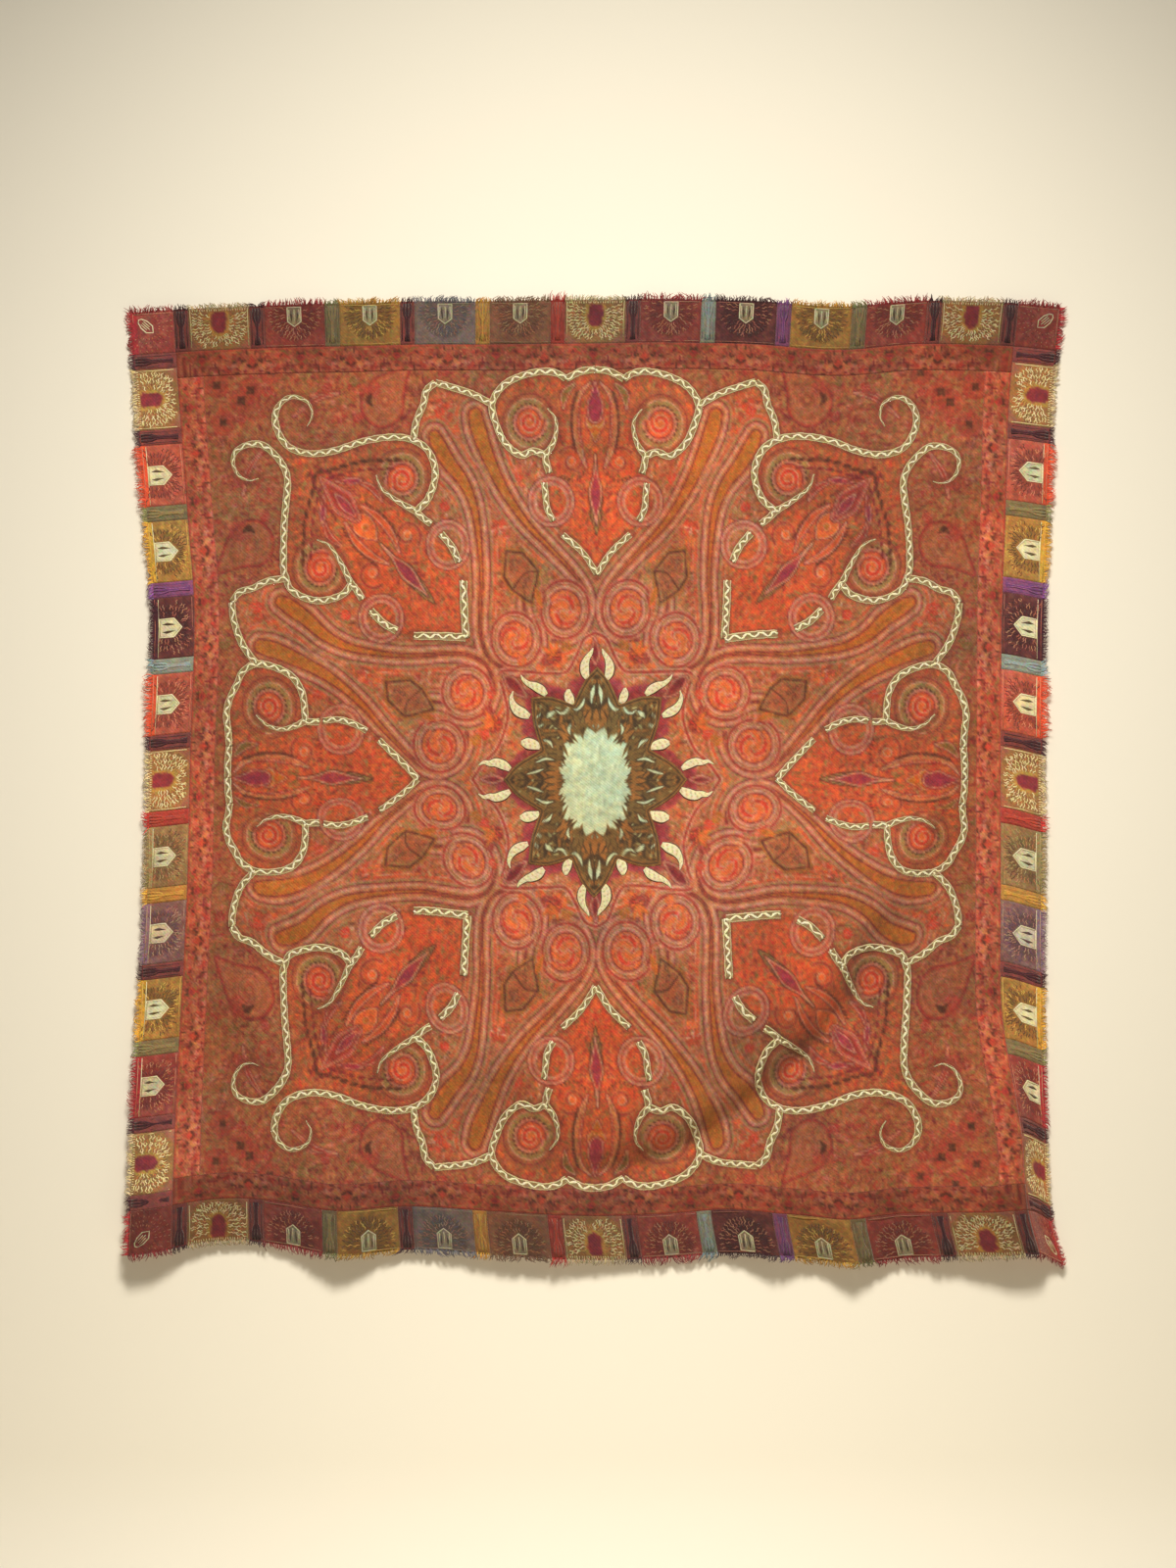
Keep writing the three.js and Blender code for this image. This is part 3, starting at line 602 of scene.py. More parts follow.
# The dark three-cornered shield beside the star, and its small leaves with the way each one points
SHIELD = [(188, 442), (154, 438), (122, 402), (136, 342), (174, 366), (192, 392)]
SHIELD_LEAVES = ((150, 412, 60), (166, 424, 100), (180, 404, -30), (164, 400, 20), (146, 384, 150),
                 (150, 366, 200))
# Dark squares in the field's corners
CORNER_SQUARES = table("across up size", (760, 802, 7), (730, 750, 8), (687, 788, 7))


def scatter(rng, reach, spacing):
    """Uneven places over the quarter, one in each cell of a loose grid."""
    ticks = np.arange(spacing / 2, reach, spacing)
    x, y = np.meshgrid(ticks, ticks)
    shift = rng.uniform(-0.42, 0.42, (2, *x.shape)) * spacing
    return np.stack([(x + shift[0]).ravel(), (y + shift[1]).ravel()], axis=1)


def paint_fill(design, zone_at, seed, strength):
    """Small leaves and curls that cover the ground everywhere."""
    rng = np.random.default_rng(seed)
    for spacing, length, width in ((FILL_SPACING, 20, 5.2), (FILL_SPACING * 0.75, 12, 3.6)):
        places = scatter(rng, DESIGN_REACH - 12, spacing)
        for (across, up), zone in zip(places, zone_at(places[:, 0], places[:, 1]), strict=True):
            thread = FILL_THREADS[zone][rng.integers(len(FILL_THREADS[zone]))]
            flow = np.degrees(np.arctan2(across, up)) + 60 * np.sin(across / 41) * np.cos(up / 37)
            turn = flow + rng.choice([-1, 1]) * rng.uniform(12, 60)
            size = rng.uniform(0.7, 1.25)
            design.leaf(across, up, turn, length * size, width * size, thread, strength=strength)


def paint_patch(design, row):
    """A soft-edged oval of another wool."""
    reach = max(row["wide"], row["high"]) * 1.3
    part = design.window((row["across"], row["up"]), (row["across"], row["up"]), reach)
    dx, dy = design.x[part] - row["across"], design.y[part] - row["up"]
    c, s = math.cos(math.radians(row["turn"])), math.sin(math.radians(row["turn"]))
    radius = np.hypot((dx * c - dy * s) / row["wide"], (dx * s + dy * c) / row["high"])
    ragged = 0.3 * soft_noise(design.x[part], design.y[part], 16, 73)
    design.paint(part, smooth_rise((1.1 + ragged - radius) / 0.4) * 0.72, row["thread"])


def paint_spray(design, row):
    """A few pointed leaves fanned out from one foot, with thin pale edges."""
    for share, tilt in ((0.72, -46), (0.72, 46), (0.9, -22), (0.9, 22), (1.1, 0)):
        turn = row["turn"] + tilt
        design.leaf(row["across"], row["up"], turn, row["size"] * share, row["size"] * 0.34, row["thread"],
                    edge="pink" if tilt == 0 else None)


def paint_serration(design, points, step, length, turned, thread="dark"):
    """Short dark leaves along a line, all turned to one side of it."""
    line = spline(points, step)
    heading = np.degrees(np.arctan2(*np.gradient(line[:, :2], axis=0).T))
    for (x, y), way in zip(line[:, :2], heading, strict=True):
        design.leaf(x, y, way + turned, length, length * 0.36, thread, strength=0.85)


def paint_curl(design, centre, radius, start, way=1):
    """A coiled stem that ends in a round bud."""
    angle = start + way * np.linspace(0, 2.1 * np.pi, 14)
    reach = np.linspace(radius, radius * 0.28, 14)
    stem = np.stack([centre[0] + reach * np.cos(angle), centre[1] + reach * np.sin(angle)], axis=1)
    design.disc(centre, [(0, radius * 0.8, "red orange")])
    design.stroke(stem, radius * 0.30, "tan")
    design.stroke(stem, radius * 0.17, "crimson")
    design.disc(centre, [(0, radius * 0.22, "orange"), (radius * 0.22, radius * 0.3, "pale pink")])


def paint_teardrop(design, points):
    """A teardrop with its vine, and echoes of thread round it."""
    half = np.clip((np.array(points)[:, 2] - 4.5) / 3, 0, 1)
    line, part, out, place = design.drop(points, "tan", (), 62)
    patchy = np.clip(0.45 + 0.9 * soft_noise(design.x[part], design.y[part], 34, 75), 0, 1)
    design.bands(part, out, ECHO_BANDS, patchy)
    wide = np.interp(place, np.linspace(0, len(line) - 1, len(half)), half)
    design.paint(part, -out / DESIGN_STEP * (0.35 + 0.65 * wide), "ochre")
    design.bands(part, out + 5.5, [(-1.0, 0.4, "orange")], 0.5)
    design.bands(part, out, VINE_BANDS)


# A swirl's parts, in shares of its disc: a flame with its half widths, and a curly line
FLAME = [(0.80, -0.10, 0.03), (0.62, 0.46, 0.10), (0.10, 0.66, 0.16), (-0.34, 0.40, 0.14),
         (-0.30, 0.02, 0.08), (-0.02, -0.02, 0.02)]
SQUIGGLE = [(0.12, 0.72), (0.02, 0.52), (0.16, 0.36), (0.0, 0.22)]
SWIRL_DISC = 0.64
SWIRL_SQUASH = 1.06
SWIRL_PITCH = 7.0


def turned_about(centre, size, turn, points):
    """Points turned round a centre and sized, with any half widths."""
    x, y = centre
    c, s = math.cos(turn), math.sin(turn)
    return [(x + size * (a * c - b * s), y + size * (a * s + b * c), *(size * h for h in half))
            for a, b, *half in points]


def paint_swirl(design, swirl):
    """An oval of flames inside a spiral of threads."""
    centre = np.array([swirl["across"], swirl["up"]])
    disc = swirl["radius"] * SWIRL_DISC
    part = design.window(centre, centre, swirl["radius"] + 8)
    dx, dy = design.x[part] - centre[0], design.y[part] - centre[1]
    radius = np.hypot(dx, dy / SWIRL_SQUASH)
    design.paint(part, (disc - radius) / DESIGN_STEP + 0.5, "orange")
    for turn in swirl["flames"]:
        flame = turned_about(centre, disc, turn, FLAME)
        design.drop(flame, "scarlet", [(-1.0, 0.6, "pale pink"), (3.0, 4.2, "tan")], 6)
    for angle in np.arange(0, 2 * np.pi, 0.42):
        x, y = centre + disc * 0.80 * np.array([math.cos(angle), math.sin(angle)])
        design.leaf(x, y, 90 - math.degrees(angle) + 70, 8, 2.6, "crimson", strength=0.8)
    for turn in swirl["flames"]:
        design.stroke(turned_about(centre, disc, turn + 1.2, SQUIGGLE), 2.4, "pale pink", 0.8)
    wound = radius + SWIRL_PITCH * (((np.arctan2(dy, dx) - swirl["flames"][0]) / (2 * np.pi)) % 1 - 0.5)
    design.bands(part, wound - disc, SWIRL_BANDS)


def paint_scroll_head(design, head):
    """The coiled end of a scroll, with a toothed dark leaf that follows it round."""
    centre = (head["across"], head["up"])
    part = design.window(centre, centre, head["radius"])
    dx, dy = design.x[part] - centre[0], design.y[part] - centre[1]
    radius, angle = np.hypot(dx, dy), np.arctan2(dy, dx)
    wound = radius + 9 * ((angle - head["start"]) % (2 * np.pi)) / (2 * np.pi) - 4
    cover = np.clip((head["radius"] - radius) / DESIGN_STEP, 0, 1)
    design.bands(part, wound, HEAD_BANDS, cover)
    for i in range(17):
        a = head["start"] + 0.5 + i * 0.29
        r = 41 - 0.35 * i
        foot = (centre[0] + r * math.cos(a), centre[1] + r * math.sin(a))
        design.leaf(*foot, 90 - math.degrees(a) - 118, 10, 4.4, "dark")


def paint_bud(design, at, foot, tip):
    """The long pointed bud in its pale calyx that stands in the foot of each palmette."""
    length = tip - foot
    calyx = [(*at(0, foot - 10), 1), (*at(0, foot + 0.16 * length), 10), (*at(0, foot + 0.42 * length), 14)]
    design.drop(calyx, "khaki", [(-1.0, 1.4, "dark")], 6)
    shares = ((0.06, 1.5), (0.22, 6), (0.46, 14.5), (0.58, 13), (0.76, 5), (1.0, 2.5))
    design.drop([(*at(0, foot + share * length), half) for share, half in shares], "magenta", BUD_BANDS, 6)


def paint_palmette_plant(design):
    """The flower that fills a side palmette, drawn on its middle line."""
    def at(beside, along):
        # Its middle line is upright, so both stay as they are
        return beside, along

    paint_curl(design, (51, 615), 30, 0.6)
    paint_serration(design, [(26, 596), (46, 582), (70, 588)], 9, 10, 60)
    design.drop([(20, 604, 2), (33, 640, 6), (41, 690, 8), (36, 738, 6), (10, 768, 1)], "tan", LEAF_BANDS, 6)
    paint_serration(design, [(42, 628), (51, 668), (50, 710), (42, 742)], 10, 14, -28)
    paint_serration(design, [(27, 640), (34, 680), (32, 720)], 10, 10, 26, "crimson")
    design.drop([(66, 716, 2), (62, 744, 8), (44, 764, 3)], "olive", LEAF_BANDS, 5)
    for i in range(6):
        design.leaf(18 + 2.5 * i, 512 + 15 * i, 40, 22, 6, "crimson", edge="tan" if i % 2 else None)
    paint_bud(design, at, 482, 628)
    design.drop([(0, 655, 3), (0, 672, 11), (0, 690, 20), (0, 706, 14)], "ochre", LEAF_BANDS, 6)
    for i in range(4):
        wave = [(0, 678 + 8 * i), (9, 672 + 8 * i), (16, 680 + 8 * i)]
        design.stroke(wave, 1.6, "pale pink" if i % 2 else "scarlet")
    design.drop([(0, 702, 14), (0, 724, 17), (0, 744, 9), (0, 768, 2)], "magenta",
                [(-4.0, -2.4, "wine"), *LEAF_BANDS], 6)


def paint_corner_plant(design):
    """The flower that fills a corner of the field, drawn along the slanting line through the middle."""
    def at(beside, along):
        return (along - beside) * math.sqrt(0.5), (along + beside) * math.sqrt(0.5)

    paint_serration(design, [(428, 622), (500, 616), (560, 598), (606, 590)], 21, 22, 164)
    paint_serration(design, [(440, 604), (504, 598), (566, 580)], 26, 18, 168, "wine")
    paint_serration(design, [(600, 640), (614, 690), (618, 720)], 12, 12, -20, "wine")
    paint_curl(design, at(52, 617), 31, 3.8, -1)
    design.drop([(*at(16, 606), 2), (*at(29, 640), 6), (*at(34, 682), 7), (*at(24, 724), 2)],
                "red orange", LEAF_BANDS, 6)
    paint_serration(design, [at(32, 620), at(40, 655), at(40, 690), at(34, 715)], 10, 12, -30)
    design.drop([(*at(62, 700), 2), (*at(66, 730), 6), (*at(52, 764), 2)], "crimson", LEAF_BANDS, 6)
    for i in range(6):
        design.leaf(*at(20 + 3 * i, 505 + 14 * i), 90, 20, 6, "crimson", edge="tan" if i % 2 else None)
    paint_bud(design, at, 488, 646)
    design.drop([(*at(0, 660), 4), (*at(0, 678), 18), (*at(0, 700), 22), (*at(0, 716), 12)],
                "orange", LEAF_BANDS, 6)
    design.disc(at(0, 690), [(0, 6, "ochre"), (6, 7.4, "pale pink")])
    design.drop([(*at(0, 716), 10), (*at(0, 752), 24), (*at(0, 780), 17), (*at(0, 822), 2)], "crimson",
                [(-7.0, -5.6, "magenta"), (-5.6, -4.4, "pale pink"), *LEAF_BANDS], 6)
    design.drop([(*at(0, 722), 4), (*at(0, 750), 10), (*at(0, 778), 2)], "magenta", LEAF_BANDS, 4)
    design.drop([(494, 578, 2), (515, 576, 7), (548, 573, 1)], "magenta", LEAF_BANDS, 5)
    paint_serration(design, [at(36, 740), at(30, 790), at(14, 838)], 12, 14, 30, "wine")


def paint_outer_motifs(design):
    """Cones, coils and small squares on the brown ground round the star."""
    design.drop([(452, 726, 48), (440, 750, 40), (418, 776, 22), (396, 800, 6)], "brown", PAISLEY_BANDS, 6)
    cone_side = [(500, 706), (480, 682), (448, 674), (414, 690), (398, 722), (394, 760)]
    paint_serration(design, cone_side, 10, 9, -60, "wine")
    design.disc((476, 754), [(0, 20, "crimson")], 0.7)
    design.disc((448, 732), [(17, 18.6, "pink"), (24, 25.4, "pink"), (8, 9.4, "crimson"), (0, 5, "tan")])
    design.drop([(476, 744, 3), (482, 734, 7), (474, 722, 2)], "dark", (), 4)
    coil = [(0, 5, "crimson"), (9, 10.6, "crimson"), (16, 17.4, "pink"), (24, 26, "crimson")]
    design.disc((556, 690), coil)
    design.drop([(640, 700, 2), (590, 735, 5), (545, 745, 2)], "crimson", LEAF_BANDS, 5)
    for row in CORNER_SQUARES:
        centre = (row["across"], row["up"])
        design.disc(centre, [(0, 26, "crimson")], 0.65)
        for turn in (0, 90, 180, 270):
            design.leaf(*centre, turn + 45, row["size"] * 1.5, row["size"] * 1.2, "dark")
    design.disc((730, 700), [(0, 30, "crimson")], 0.45)


def paint_star_surround(design):
    """Red patches, buds, florets and a thin frame round the star of leaves."""
    loop = star_outline() * (1 / STAR_SHRINK, 1)
    part = design.window((0, 0), (210, 240), 20)
    out, _, _ = nearest(np.vstack([loop, loop[:1]]), design.x[part], design.y[part])
    patchy = soft_noise(design.x[part], design.y[part], 24, 71)
    design.paint(part, smooth_rise((23 + 9 * patchy - out) / 9) * 0.85, "magenta")
    design.paint(part, smooth_rise((12 + 9 * patchy - out) / 9) * 0.8, "wine")
    design.stroke(STAR_FRAME, 11.0, "pale pink")
    design.stroke(STAR_FRAME, 6.0, "crimson")
    for row in STAR_SPRAYS:
        paint_spray(design, row)
    for x, y, away in STAR_FLORETS:
        design.disc((x, y), [(0, 17, "crimson")], 0.7)
        for turn in range(0, 360, 45):
            design.leaf(x, y, away + turn, 20, 8, "scarlet" if turn % 90 else "orange", edge="wine")
        for turn in range(20, 380, 60):
            c, s = math.cos(math.radians(turn)), math.sin(math.radians(turn))
            design.disc((x + 9 * s, y + 9 * c), [(0, 2.2, "dark")], 0.9)
        for tilt in (-34, 0, 34):
            design.leaf(x, y, away + tilt, 34, 10, "orange", edge="ochre")
    for points in STAR_BUDS:
        design.drop(points, "wine", [(-4.0, -2.6, "pink"), *LEAF_BANDS], 6)


def paint_shield(design):
    """A dark bordered three-cornered motif with a leaf below it."""
    loop = np.array([*SHIELD, SHIELD[0]], float)
    part, (distance, _, _) = design.around(loop, 16)
    signed = np.where(inside(loop[:-1], design.x[part], design.y[part]), -distance, distance)
    design.paint(part, 0.8 - signed / 14, "olive")
    design.paint(part, -signed / DESIGN_STEP, "brown")
    design.bands(part, signed, [(-6.0, -3.6, "khaki"), (-1.8, 2.0, "dark"), (4.0, 6.0, "ochre")])
    design.stroke([(122, 402), (150, 398), (176, 366)], 3.0, "dark")
    for x, y, turn in SHIELD_LEAVES:
        design.leaf(x, y, turn, 18, 6, "tan", edge="dark")
    design.leaf(128, 372, 200, 44, 13, "ochre", edge="orange")


def paint_design():
    """The whole quarter: the grounds and their small leaves, then each octant's motifs."""
    design = Design()
    everywhere = (slice(None), slice(None))
    zones = np.zeros(design.x.shape, int)
    octants = []
    for octant, is_side in ((design, False), (design.turned(), True)):
        palmette, corner, whole = closed_outlines(octant_lines(is_side), is_side)
        mine = octant.y >= octant.x - DESIGN_STEP
        in_star = inside(whole, octant.x, octant.y) & mine
        in_palmette = (inside(palmette, octant.x, octant.y) | inside(corner, octant.x, octant.y)) & mine
        from_middle = np.hypot(octant.x, octant.y)
        octant.paint(everywhere, in_star, "star brown")
        octant.paint(everywhere, in_star * np.clip(1.3 - from_middle / 520, 0, 1), "middle brown")
        octant.paint(everywhere, in_palmette, "red orange")
        octant.paint(everywhere, in_palmette * np.clip((from_middle - 600) / 200, 0, 0.8), "brown")
        view = zones.T if is_side else zones
        view[in_star] = 1
        view[in_palmette] = 2
        octants.append((octant, mine, in_star, in_palmette))

    def zone_at(x, y):
        i, k = (np.minimum((places / DESIGN_STEP).astype(int), len(zones) - 1) for places in (x, y))
        return np.array(["outside", "star", "palmette"])[zones[i, k]]

    for octant, mine, in_star, in_palmette in octants:
        octant.only = in_star & ~in_palmette
        for row in PATCHES:
            paint_patch(octant, row)
    design.only = None
    paint_fill(design, zone_at, SEEDS["fill"], FILL_STRENGTH)
    for octant, mine, in_star, in_palmette in octants:
        octant.only = mine & ~in_star & ~in_palmette
        paint_outer_motifs(octant)
        octant.only = mine & ~in_palmette
        for row in SPRAYS:
            paint_spray(octant, row)
        octant.only = in_star & ~in_palmette
        for points in TEARDROPS.values():
            paint_teardrop(octant, points)
        for swirl in SWIRLS:
            paint_swirl(octant, swirl)
        paint_shield(octant)
        octant.only = in_palmette
        for head in SCROLL_HEADS:
            paint_scroll_head(octant, head)
        paint_palmette_plant(octant)
        paint_corner_plant(octant)
        octant.only = mine
        # A deep brown halo along each ribbon on the field: partly its dark outline thread, partly painted
        # shade beside the raised ribbon
        for points in octant_lines(octant is not design).values():
            octant.stroke(points, RIBBON_WIDTH + 8, "deep brown", 0.6)
        for ring in LINK_RINGS:
            radius = ring["radius"]
            bands = [(low + radius, high + radius, thread) for low, high, thread in RING_BANDS]
            octant.disc((ring["across"], ring["up"]), bands)
    design.only = None
    paint_star_surround(design)
    paint_fill(design, zone_at, SEEDS["fill over"], OVER_STRENGTH)
    return design


# How the hand-made design strays from its mirror image, and how much narrower it is than drawn
WARP = 3.5
WARP_CELL = 150.0
SQUEEZE = 0.915
DROOP = table("across reach up spread height", (200, 180, 0, 9999, 21), (600, 150, 330, 170, 36))


def warp(u, v):
    """How far the hand-made design wanders from its own mirror image."""
    return WARP * soft_noise(u, v, WARP_CELL, 21), WARP * soft_noise(u, v, WARP_CELL, 22)


def droop(across, up):
    """How much nearer the middle the design lies in its lower half than in its upper one."""
    total = sum(row["height"] * smooth_rise((across - row["across"]) / row["reach"])
                * bell(up - row["up"], row["spread"]) for row in DROOP)
    return total * smooth_rise(up / 120)


def to_design(u, v):
    """Where a flat place of the field falls in the quarter that the design is drawn in."""
    shift_u, shift_v = warp(u, v)
    x, z = seen_from_front(u, v)
    across = np.abs(x + shift_u) / SQUEEZE
    up = z + MEDALLION_DROP + shift_v
    low = np.abs(up) + droop(across, np.abs(up))
    return across, np.where(up < 0, np.abs(up) + droop(across, low), up)


def from_design(across, up, side, level):
    """The flat place of a point in the design, in the quarter to that side and level."""
    across, up = np.asarray(across, float), np.asarray(up, float)
    x = side * across * SQUEEZE
    z = level * (up - (droop(across, up) if level < 0 else 0)) - MEDALLION_DROP
    u, v = x.copy(), -z
    for _ in range(5):
        shift_u, shift_v = warp(u, v)
        seen_x, seen_z = seen_from_front(u, v)
        u = u + x - shift_u - seen_x
        v = v - (z - shift_v - seen_z)
    return u, v


def sample(canvas, step, x, y):
    """Reads a painted canvas between its points."""
    x = np.clip(x / step, 0, canvas.shape[0] - 1.001)
    y = np.clip(y / step, 0, canvas.shape[1] - 1.001)
    i, k = x.astype(int), y.astype(int)
    s, t = (x - i)[..., None], (y - k)[..., None]
    near = canvas[i, k] * (1 - s) + canvas[i + 1, k] * s
    far = canvas[i, k + 1] * (1 - s) + canvas[i + 1, k + 1] * s
    return near * (1 - t) + far * t


# How much lighter and how much warmer the dye falls, in cells of several sizes
DYE_LIGHT = table("cell height seed", (95, 0.07, 31), (11, 0.07, 32), (5.2, 0.08, 33))
DYE_WARMTH = table("cell height seed", (130, 0.05, 34), (8, 0.04, 35))


def tinted(colour, u, v):
    """Uneven dye: each piece of wool is a little darker, redder or browner than its neighbour."""
    light = 1 + uneven(DYE_LIGHT, u, v)
    warm = uneven(DYE_WARMTH, u, v)
    tint = np.stack([light * (1 + warm), light, light * (1 - warm)], axis=-1)
    return np.clip(colour * tint, 0, 255)


field_design = paint_design()


def field_colour(u, v):
    """The field's colour at a flat place, from four reads close together."""
    across, up = to_design(u, v)
    reads = [sample(field_design.colour, DESIGN_STEP, across + dx, up + dy)
             for dx, dy in ((-0.7, -0.7), (0.7, -0.7), (-0.7, 0.7), (0.7, 0.7))]
    return tinted(sum(reads) / 4, u, v)


BACK_FADE = 0.45
BACK_COLOUR = np.array([118, 70, 56], float)


def reverse_colour(colour):
    """The back of stitched wool, where the threads run together."""
    return colour * (1 - BACK_FADE) + BACK_COLOUR * BACK_FADE


def place_object(name, data):
    """A new object in the scene."""
    thing = bpy.data.objects.new(name, data)
    bpy.context.scene.collection.objects.link(thing)
    return thing


class Batch:
    """Flat places, faces and colours that become one mesh."""

    def __init__(self):
        self.u, self.v, self.out, self.colour, self.faces = [], [], [], [], []
        self.count = 0

    def add(self, u, v, out, colour, faces):
        """Adds points and their faces. A face has three or four corners, counted from the first point."""
        u = np.ravel(np.asarray(u, float))
        self.u.append(u)
        self.v.append(np.ravel(np.asarray(v, float)))
        self.out.append(np.broadcast_to(np.ravel(np.asarray(out, float)), u.shape))
        self.colour.append(np.broadcast_to(np.reshape(np.asarray(colour, float), (-1, 3)), (len(u), 3)))
        for group in faces:
            self.faces.append(np.asarray(group) + self.count)
        self.count += len(u)

    def build(self, name, material, sharp_rims=False):
        """Makes the mesh, in space and in metres, with its thread colours."""
        u, v, out = (np.concatenate(part) for part in (self.u, self.v, self.out))
        colour = np.concatenate(self.colour)
        used = np.zeros(len(u), bool)
        for group in self.faces:
            used[group.ravel()] = True
        number = np.cumsum(used) - 1
        points = cloth_point(u[used], v[used], out[used])
        loops = np.concatenate([number[group].ravel() for group in self.faces]).astype(np.int32)
        sizes = np.concatenate([np.full(len(group), group.shape[1]) for group in self.faces])
        starts = (np.cumsum(sizes) - sizes).astype(np.int32)
        mesh = bpy.data.meshes.new(name)
        mesh.vertices.add(len(points))
        mesh.vertices.foreach_set("co", points.astype(np.float32).ravel())
        mesh.loops.add(len(loops))
        mesh.loops.foreach_set("vertex_index", loops)
        mesh.polygons.add(len(sizes))
        mesh.polygons.foreach_set("loop_start", starts)
        mesh.polygons.foreach_set("use_smooth", np.ones(len(sizes), bool))
        mesh.update(calc_edges=True)
        if sharp_rims:
            mark_rims(mesh, out[used] > WALL / 2)
        threads = mesh.attributes.new("thread", "FLOAT_COLOR", "POINT")
        rgba = np.ones((len(points), 4), np.float32)
        rgba[:, :3] = linear(colour[used])
        threads.data.foreach_set("color", rgba.ravel())
        mesh.materials.append(material)
        piece = place_object(name, mesh)
        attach(piece, "root")
        return piece


def read_whole(items, name, each=1):
    """One whole-number property of all of a mesh's parts."""
    values = np.zeros(len(items) * each, np.int32)
    items.foreach_get(name, values)
    return values


def mark_rims(mesh, in_front):
    """Keeps the front's shading flat up to its edge, where it turns over the rim."""
    edges = read_whole(mesh.edges, "vertices", 2).reshape(-1, 2)
    sizes = read_whole(mesh.polygons, "loop_total")
    face_of_loop = np.repeat(np.arange(len(sizes)), sizes)
    # A rim face joins the front to the back, so its corners aren't all in one
    fronts = np.bincount(face_of_loop, in_front[read_whole(mesh.loops, "vertex_index")], len(sizes))
    mixed = (fronts > 0) & (fronts < sizes)
    beside_rim = np.zeros(len(edges), bool)
    beside_rim[read_whole(mesh.loops, "edge_index")[mixed[face_of_loop]]] = True
    sharp = beside_rim & (in_front[edges[:, 0]] == in_front[edges[:, 1]])
    mesh.attributes.new("sharp_edge", "BOOLEAN", "EDGE").data.foreach_set("value", sharp)


RATIO = 4


def lines_between(low, high, spacing):
    """Evenly spaced coarse lines, close enough that a quarter of a cell is no more than the spacing."""
    return np.linspace(low, high, max(1, math.ceil((high - low) / (spacing * RATIO))) + 1)


def finer(grid):
    """Four cells for each one of a grid of places, in both directions."""
    for _ in range(2):
        length = grid.shape[0]
        place = np.linspace(0, length - 1, (length - 1) * RATIO + 1)
        low = np.minimum(place.astype(int), length - 2)
        share = (place - low)[:, None]
        grid = (grid[low] * (1 - share) + grid[low + 1] * share).T
    return grid


def cloth_shell(batch, box, spacing, colour_of, rim_dip=0.0, hole=None):
    """One piece of cloth: a fine front, a coarser back, and a rim that joins them all round."""
    left, right, top, bottom = box
    us, vs = lines_between(left, right, spacing), lines_between(top, bottom, spacing)
    coarse_u, coarse_v = np.meshgrid(us, vs, indexing="ij")
    kept = np.ones((len(us) - 1, len(vs) - 1), bool)
    if hole is not None:
        coarse_u, coarse_v, kept = hole(coarse_u, coarse_v)
    fine_u, fine_v = finer(coarse_u), finer(coarse_v)
    ni, nk = fine_u.shape
    to_rim = np.minimum(np.minimum(fine_u - left, right - fine_u), np.minimum(fine_v - top, bottom - fine_v))
    front_out = WALL - rim_dip * bell(to_rim, 2.2)
    front = np.arange(ni * nk).reshape(ni, nk)
    back = np.arange(coarse_u.size).reshape(coarse_u.shape) + front.size
    fine_kept = np.repeat(np.repeat(kept, RATIO, 0), RATIO, 1)

    def quads(index, mask, turned):
        a, b, c, d = index[:-1, :-1][mask], index[:-1, 1:][mask], index[1:, 1:][mask], index[1:, :-1][mask]
        return np.stack([a, d, c, b] if turned else [a, b, c, d], axis=1)

    rim = []
    edge = np.zeros((kept.shape[0] + 2, kept.shape[1] + 2), bool)
    edge[1:-1, 1:-1] = kept
    for di, dk, turned in ((0, -1, False), (1, 0, False), (0, 1, True), (-1, 0, True)):
        open_side = kept & ~edge[1 + di : edge.shape[0] - 1 + di, 1 + dk : edge.shape[1] - 1 + dk]
        i, k = np.nonzero(open_side)
        first = (i + (di == 1), k + (dk == 1))
        second = (first[0] + (dk != 0), first[1] + (di != 0))
        b0, b1 = back[first], back[second]
        steps = [front[first[0] * RATIO + (dk != 0) * n, first[1] * RATIO + (di != 0) * n]
                 for n in range(RATIO + 1)]
        for a, b, c in ((b0, steps[0], steps[1]), (b0, steps[1], steps[2]), (b0, steps[2], b1),
                        (b1, steps[2], steps[3]), (b1, steps[3], steps[4])):
            rim.append(np.stack([a, c, b] if turned else [a, b, c], axis=1))
    front_colour = colour_of(fine_u, fine_v)
    back_colour = reverse_colour(colour_of(coarse_u, coarse_v))
    batch.add(
        np.concatenate([fine_u.ravel(), coarse_u.ravel()]),
        np.concatenate([fine_v.ravel(), coarse_v.ravel()]),
        np.concatenate([front_out.ravel(), np.zeros(coarse_u.size)]),
        np.concatenate([front_colour.reshape(-1, 3), back_colour.reshape(-1, 3)]),
        [quads(front, fine_kept, False), quads(back, kept, True), np.concatenate(rim)])


def medallion_hole(u, v):
    """Moves the grid's nearest lines onto the star's outline and drops the cells inside it."""
    outline = star_outline(-3.0)
    loop = np.vstack([outline, outline[:1]])
    x, y = u, MEDALLION_DROP - v
    near = np.hypot(x, y) < 260
    distance, place, _ = nearest(loop, x[near], y[near])
    cell = abs(u[1, 0] - u[0, 0])
    low = np.minimum(place.astype(int), len(loop) - 2)
    share = (place - low)[:, None]
    onto = loop[low] * (1 - share) + loop[low + 1] * share
    snap = distance < cell * 0.5
    # The straight edges that the quarters share stay straight
    on_edge_u = np.isclose(x[near], 0)
    on_edge_v = np.isclose(y[near], 0)
    new_x = np.where(snap & ~on_edge_u, onto[:, 0], x[near])
    new_y = np.where(snap & ~on_edge_v, onto[:, 1], y[near])
    x, y = x.copy(), y.copy()
    x[near], y[near] = new_x, new_y
    within = np.zeros(u.shape, bool)
    within[near] = inside(outline, x[near], y[near]) | snap
    gone = within[:-1, :-1] & within[1:, :-1] & within[:-1, 1:] & within[1:, 1:]
    return x, MEDALLION_DROP - y, ~gone


